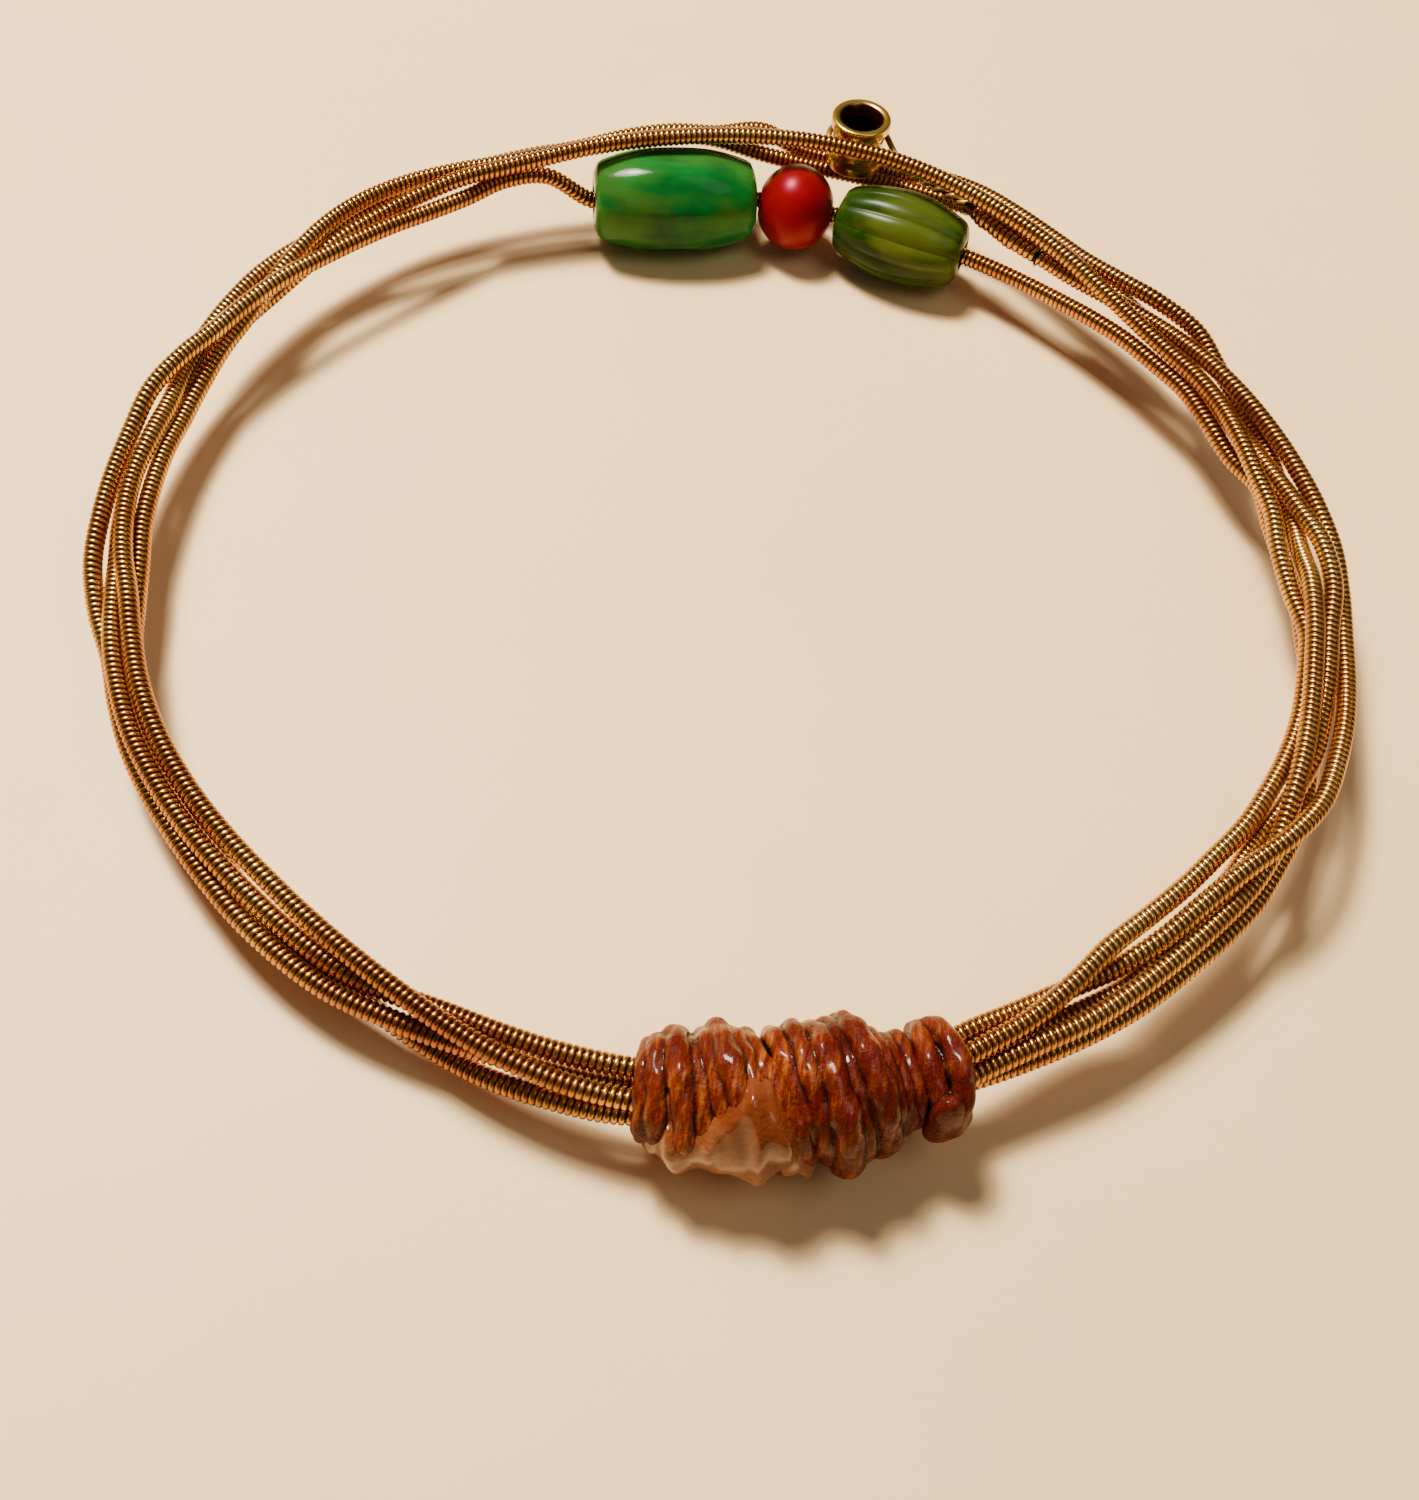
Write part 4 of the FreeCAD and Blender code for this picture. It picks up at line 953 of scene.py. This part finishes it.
def blob(bearing, radius, angle, along, round_way, outward):
    """Points and faces of a lump resting on the binding, with its three half sizes."""
    centre = binding_point(bearing, radius, angle)
    out = binding_point(bearing, radius + 1, angle) - centre
    run = ring_point(bearing + 90, 1, 0)
    side = np.cross(out, run)
    rows, sides = 13, 20
    turn, rise = np.meshgrid(np.arange(sides) * math.pi / (sides / 2),
                             np.linspace(-math.pi / 2, math.pi / 2, rows), indexing="xy")
    reach = 1 + 0.08 * np.sin(3 * turn + bearing) * np.cos(rise)
    local = np.stack([along * np.cos(turn) * np.cos(rise) * reach,
                      round_way * np.sin(turn) * np.cos(rise) * reach,
                      outward * np.sin(rise)], -1).reshape(-1, 3)
    points = centre + local[:, :1] * run + local[:, 1:2] * side + local[:, 2:] * out
    return points, grid_faces(rows, sides).tolist()


def melted(name, pieces, material, voxel, passes):
    """Pieces fused into one skin with softened creases, and how far out each point is.

    The attribute crest is 0 in the creases and 1 on the ridges; the looks paint shade where it is
    low.
    """
    points, faces, offset = [], [], 0
    for some, some_faces in pieces:
        faces += [[index + offset for index in face] for face in some_faces]
        points.append(some)
        offset += len(some)
    rough = make_object(name + "_parts", np.concatenate(points), faces, material)
    remesh = rough.modifiers.new("fuse", "REMESH")
    remesh.mode = "VOXEL"
    remesh.voxel_size = voxel * MM
    soften = rough.modifiers.new("soften", "SMOOTH")
    soften.factor = 0.5
    soften.iterations = passes
    bpy.context.view_layer.update()
    evaluated = rough.evaluated_get(bpy.context.evaluated_depsgraph_get())
    mesh = bpy.data.meshes.new_from_object(evaluated)
    bpy.data.objects.remove(rough)
    mesh.name = name
    count = len(mesh.vertices)
    place = np.empty(count * 3)
    mesh.vertices.foreach_get("co", place)
    place = place.reshape(-1, 3)
    normal = np.empty(count * 3, np.float32)
    mesh.vertices.foreach_get("normal", normal)
    edges = np.empty(len(mesh.edges) * 2, np.int32)
    mesh.edges.foreach_get("vertices", edges)
    first, second = edges.reshape(-1, 2).T
    degree = np.bincount(edges, minlength=count)[:, None]
    soft = place.copy()
    for _ in range(CREST_ROUNDS):
        total = np.zeros_like(soft)
        for axis in range(3):
            total[:, axis] = (np.bincount(first, soft[second, axis], count)
                              + np.bincount(second, soft[first, axis], count))
        soft = total / np.maximum(degree, 1)
    out = ((place - soft) * normal.reshape(-1, 3)).sum(1) / MM
    layer = mesh.attributes.new("crest", "FLOAT", "POINT")
    layer.data.foreach_set("value", np.clip(0.5 + out * CREST_GAIN, 0, 1).astype(np.float32))
    mesh.polygons.foreach_set("use_smooth", [True] * len(mesh.polygons))
    paint(mesh, material)
    return link(name, mesh)


def sleeve(start, end, radius):
    """A plain filling round the bundle under the cord."""
    line = Line([binding_point(start + (end - start) * part, 0, 0)
                 for part in np.linspace(0, 1, SLEEVE_ROWS // 2)])

    def reach(along, round_angle):
        inset = np.minimum(along, line.length - along) / SLEEVE_TAPER
        return radius * np.sqrt(np.clip(inset, 0.15, 1))

    return round_tube(line, SLEEVE_SIDES, SLEEVE_ROWS, reach)


LEFT_WRAP_LIST = [
    (-89.95, 1.90, 0.2, -0.2, 0.0, 0.90), (-89.0, 2.05, 0.3, -0.1, 0.0, 1.20),
    (-87.2, 2.45, 0.8, 0.0, 0.1, 1.30), (-85.7, 2.35, 1.0, 0.1, 0.0, 1.00),
    (-84.4, 2.60, 1.2, 0.1, 0.0, 1.05), (-82.9, 2.80, 1.6, 0.0, 0.1, 1.30),
    (-81.3, 2.75, 1.9, 0.0, 0.0, 1.10), (-79.8, 2.55, 2.3, 0.0, -0.1, 1.20)]
RIGHT_WRAP_LIST = [
    (-78.3, 2.60, 1.4, 0.0, 0.1, 1.00), (-77.0, 2.85, 1.0, -0.2, 0.1, 1.00),
    (-75.5, 2.95, 0.9, 0.0, -0.1, 1.45), (-74.0, 2.80, 0.8, 0.0, 0.1, 0.90),
    (-72.6, 2.80, 0.9, 0.3, 0.40, 1.50), (-71.2, 2.25, 0.5, 0.1, 0.2, 0.95),
    (-70.1, 1.95, 0.3, 0.0, 0.1, 1.00), (-69.0, 1.90, 0.1, -0.1, 0.05, 0.85)]
LAST_WRAP_LIST = [(-66.9, 2.05, 0.1, -0.7, 0.0, 1.05), (-66.3, 2.20, -0.4, 0.8, -0.2, 1.20)]

left_cord = melted("left_wraps", [plied_cord(*wound_cord(LEFT_WRAP_LIST)),
                                  sleeve(-90.3, -79.6, 1.95)],
                   RESIN, CORD_VOXEL, CORD_PASSES)
right_cord = melted("right_wraps", [plied_cord(*wound_cord(RIGHT_WRAP_LIST)),
                                    sleeve(-79.0, -68.4, 1.95)],
                    RESIN, CORD_VOXEL, CORD_PASSES)
last_cord = melted("last_wrap", [plied_cord(*wound_cord(LAST_WRAP_LIST)),
                                 sleeve(-69.3, -64.9, 1.92),
                                 blob(-66.8, 2.15, 2, 1.15, 1.9, 0.75)],
                   RESIN, LOOP_VOXEL, CORD_PASSES)
for piece, node in ((left_cord, "binding_cord_left"), (right_cord, "binding_cord_right"),
                    (last_cord, "binding_last_loop")):
    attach(piece, "bracelet")
    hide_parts(node)

# How far out the wraps reach, the angle where the glue starts, then lumps in the glue:
# bearing, angle, height, half width along in degrees, half width round in degrees.
GLUE_REACH = [(-90.4, 2.15), (-89.0, 2.50), (-87.2, 2.85), (-85.5, 2.90), (-83.5, 3.10),
              (-81.5, 3.25), (-79.5, 3.15), (-77.8, 3.10), (-76.4, 3.20)]
GLUE_TOP = [(-90.4, -40), (-89.3, -8), (-88.0, 30), (-86.6, 26), (-85.0, 46), (-83.6, 68),
            (-82.0, 92), (-80.6, 82), (-79.2, 52), (-77.8, 8), (-76.4, -35)]
GLUE_LUMPS = [
    (-90.2, -18, 0.20, 0.7, 16), (-87.6, 8, 0.30, 0.8, 22), (-86.8, -18, 0.42, 0.9, 14),
    (-84.9, 14, 0.28, 0.7, 20), (-83.7, -8, 0.22, 0.8, 16), (-82.3, 62, 0.50, 1.3, 18),
    (-80.7, 40, 0.45, 1.2, 20), (-81.6, 14, 0.36, 0.9, 22), (-81.2, -20, 0.42, 0.9, 14),
    (-79.4, 26, 0.30, 0.7, 18), (-78.9, -8, 0.26, 0.8, 14), (-77.2, -24, 0.34, 0.8, 12),
    (-85.2, -50, 0.30, 1.3, 25), (-80.8, -56, 0.25, 1.3, 25)]


def glue_skin():
    """The glue that ran over the wraps: a skin that dives under the cord at its edges."""
    rows, columns = 150, 170
    bearing, angle = np.meshgrid(np.linspace(GLUE_START, GLUE_END, rows),
                                 np.linspace(*GLUE_ROUND, columns), indexing="ij")
    reach = np.interp(bearing, *zip(*GLUE_REACH))
    top = np.interp(bearing, *zip(*GLUE_TOP))
    ends = np.minimum(bearing - GLUE_START, GLUE_END - bearing)
    rim = np.minimum(top - angle, angle - GLUE_BOTTOM) / RIM_ANGLE
    inside = np.minimum(rim, ends / RIM_BEARING)
    cover = np.clip(inside, -0.2, 1)
    cover = np.sqrt(np.clip(cover, 0, 1)) + np.clip(cover, -1, 0)
    thick = GLUE_THICKNESS * cover - GLUE_DIVE
    for place, turn, height, along, around in GLUE_LUMPS:
        thick += height * np.exp(-((bearing - place) / along) ** 2
                                 - ((angle - turn) / around) ** 2) * np.clip(cover, 0, 1)
    thick += 0.06 * np.sin(bearing * 1.9 + 1) * np.sin(angle * 0.07 + bearing * 0.8)
    thick += 0.03 * np.sin(bearing * 3.7 + angle * 0.05)
    outer = reach + thick
    shape = (rows, columns, 3)
    skin, back = np.empty(shape), np.empty(shape)
    for row in range(rows):
        for column in range(columns):
            place = bearing[row, column], angle[row, column]
            skin[row, column] = binding_point(place[0], outer[row, column], place[1])
            back[row, column] = binding_point(place[0], GLUE_BACK, place[1])
    points = np.concatenate([skin, back[:, ::-1]], 1)
    around = 2 * columns
    faces = grid_faces(rows, around).tolist()
    for row, flip in ((0, False), (rows - 1, True)):
        for column in range(columns - 1):
            face = [row * around + column, row * around + around - 1 - column,
                    row * around + around - 2 - column, row * around + column + 1]
            faces.append(face[::-1] if flip else face)
    return points.reshape(-1, 3), faces


glue = melted("glue_skin", [glue_skin()], GLUE, GLUE_VOXEL, GLUE_PASSES)
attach(glue, "bracelet")
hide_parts("dried_glue")

# ---------------------------------------------------------------- studio


def floor_look():
    look = Look("pale_floor")
    mottle = look.noise(45.0, 5.0, 0.6)
    look.set(Base_Color=look.ramp(mottle, [(0.3, (0.94, 0.64, 0.30)), (0.7, (0.97, 0.67, 0.33))]),
             Roughness=0.55)
    return look.material


side, drop = 900, 0.05
floor = make_object("floor", [(-side, -side, -drop), (side, -side, -drop), (side, side, -drop),
                              (-side, side, -drop)], [[0, 1, 2, 3]], floor_look(), False)

world = bpy.data.worlds.new("studio")
world.use_nodes = True
backdrop = world.node_tree.nodes["Background"].inputs
backdrop["Color"].default_value = (0.95, 0.93, 0.90, 1)
backdrop["Strength"].default_value = 0.10
bpy.context.scene.world = world


def add_light(name, place, width, power, colour):
    """A round lamp aimed at the ring's middle, with its width in metres and its watts."""
    lamp = bpy.data.lights.new(name, "AREA")
    lamp.shape = "DISK"
    lamp.size = width
    lamp.energy = power
    lamp.color = colour
    thing = link(name, lamp)
    thing.location = place
    thing.rotation_euler = (-Vector(place)).to_track_quat("-Z", "Y").to_euler()


LEFT_BEHIND = (-0.13, 0.12, 0.34)
add_light("key_light", LEFT_BEHIND, 0.13, 2.9, (1.0, 0.91, 0.77))
add_light("glint_light", LEFT_BEHIND, 0.05, 1.6, (1.0, 0.93, 0.80))
add_light("fill_light", (0.20, -0.10, 0.40), 0.25, 0.28, (1.0, 0.97, 0.93))

# The camera stands in front of the binding and above it, turned a little.
ELEVATION, ROLL, FAR = math.radians(55.5), math.radians(8.0), 96.0
SENSOR, LENS = 36.0, 45.79
AIM = Vector((0.76, -10.91, 0.0))
forward = Vector((0, math.cos(ELEVATION), -math.sin(ELEVATION)))
right_hand = Vector((1, 0, 0))
upward = right_hand.cross(forward)
camera_x = right_hand * math.cos(ROLL) + upward * math.sin(ROLL)
camera_y = upward * math.cos(ROLL) - right_hand * math.sin(ROLL)
camera_data = bpy.data.cameras.new("camera")
camera_data.sensor_fit = "HORIZONTAL"
camera_data.sensor_width = SENSOR
camera_data.lens = LENS
camera_data.clip_start = 0.005
camera = link("camera", camera_data)
stand = (AIM - forward * FAR) * MM
camera.matrix_world = Matrix.Translation(stand) @ Matrix(
    (camera_x, camera_y, -forward)).transposed().to_4x4()
bpy.context.scene.camera = camera
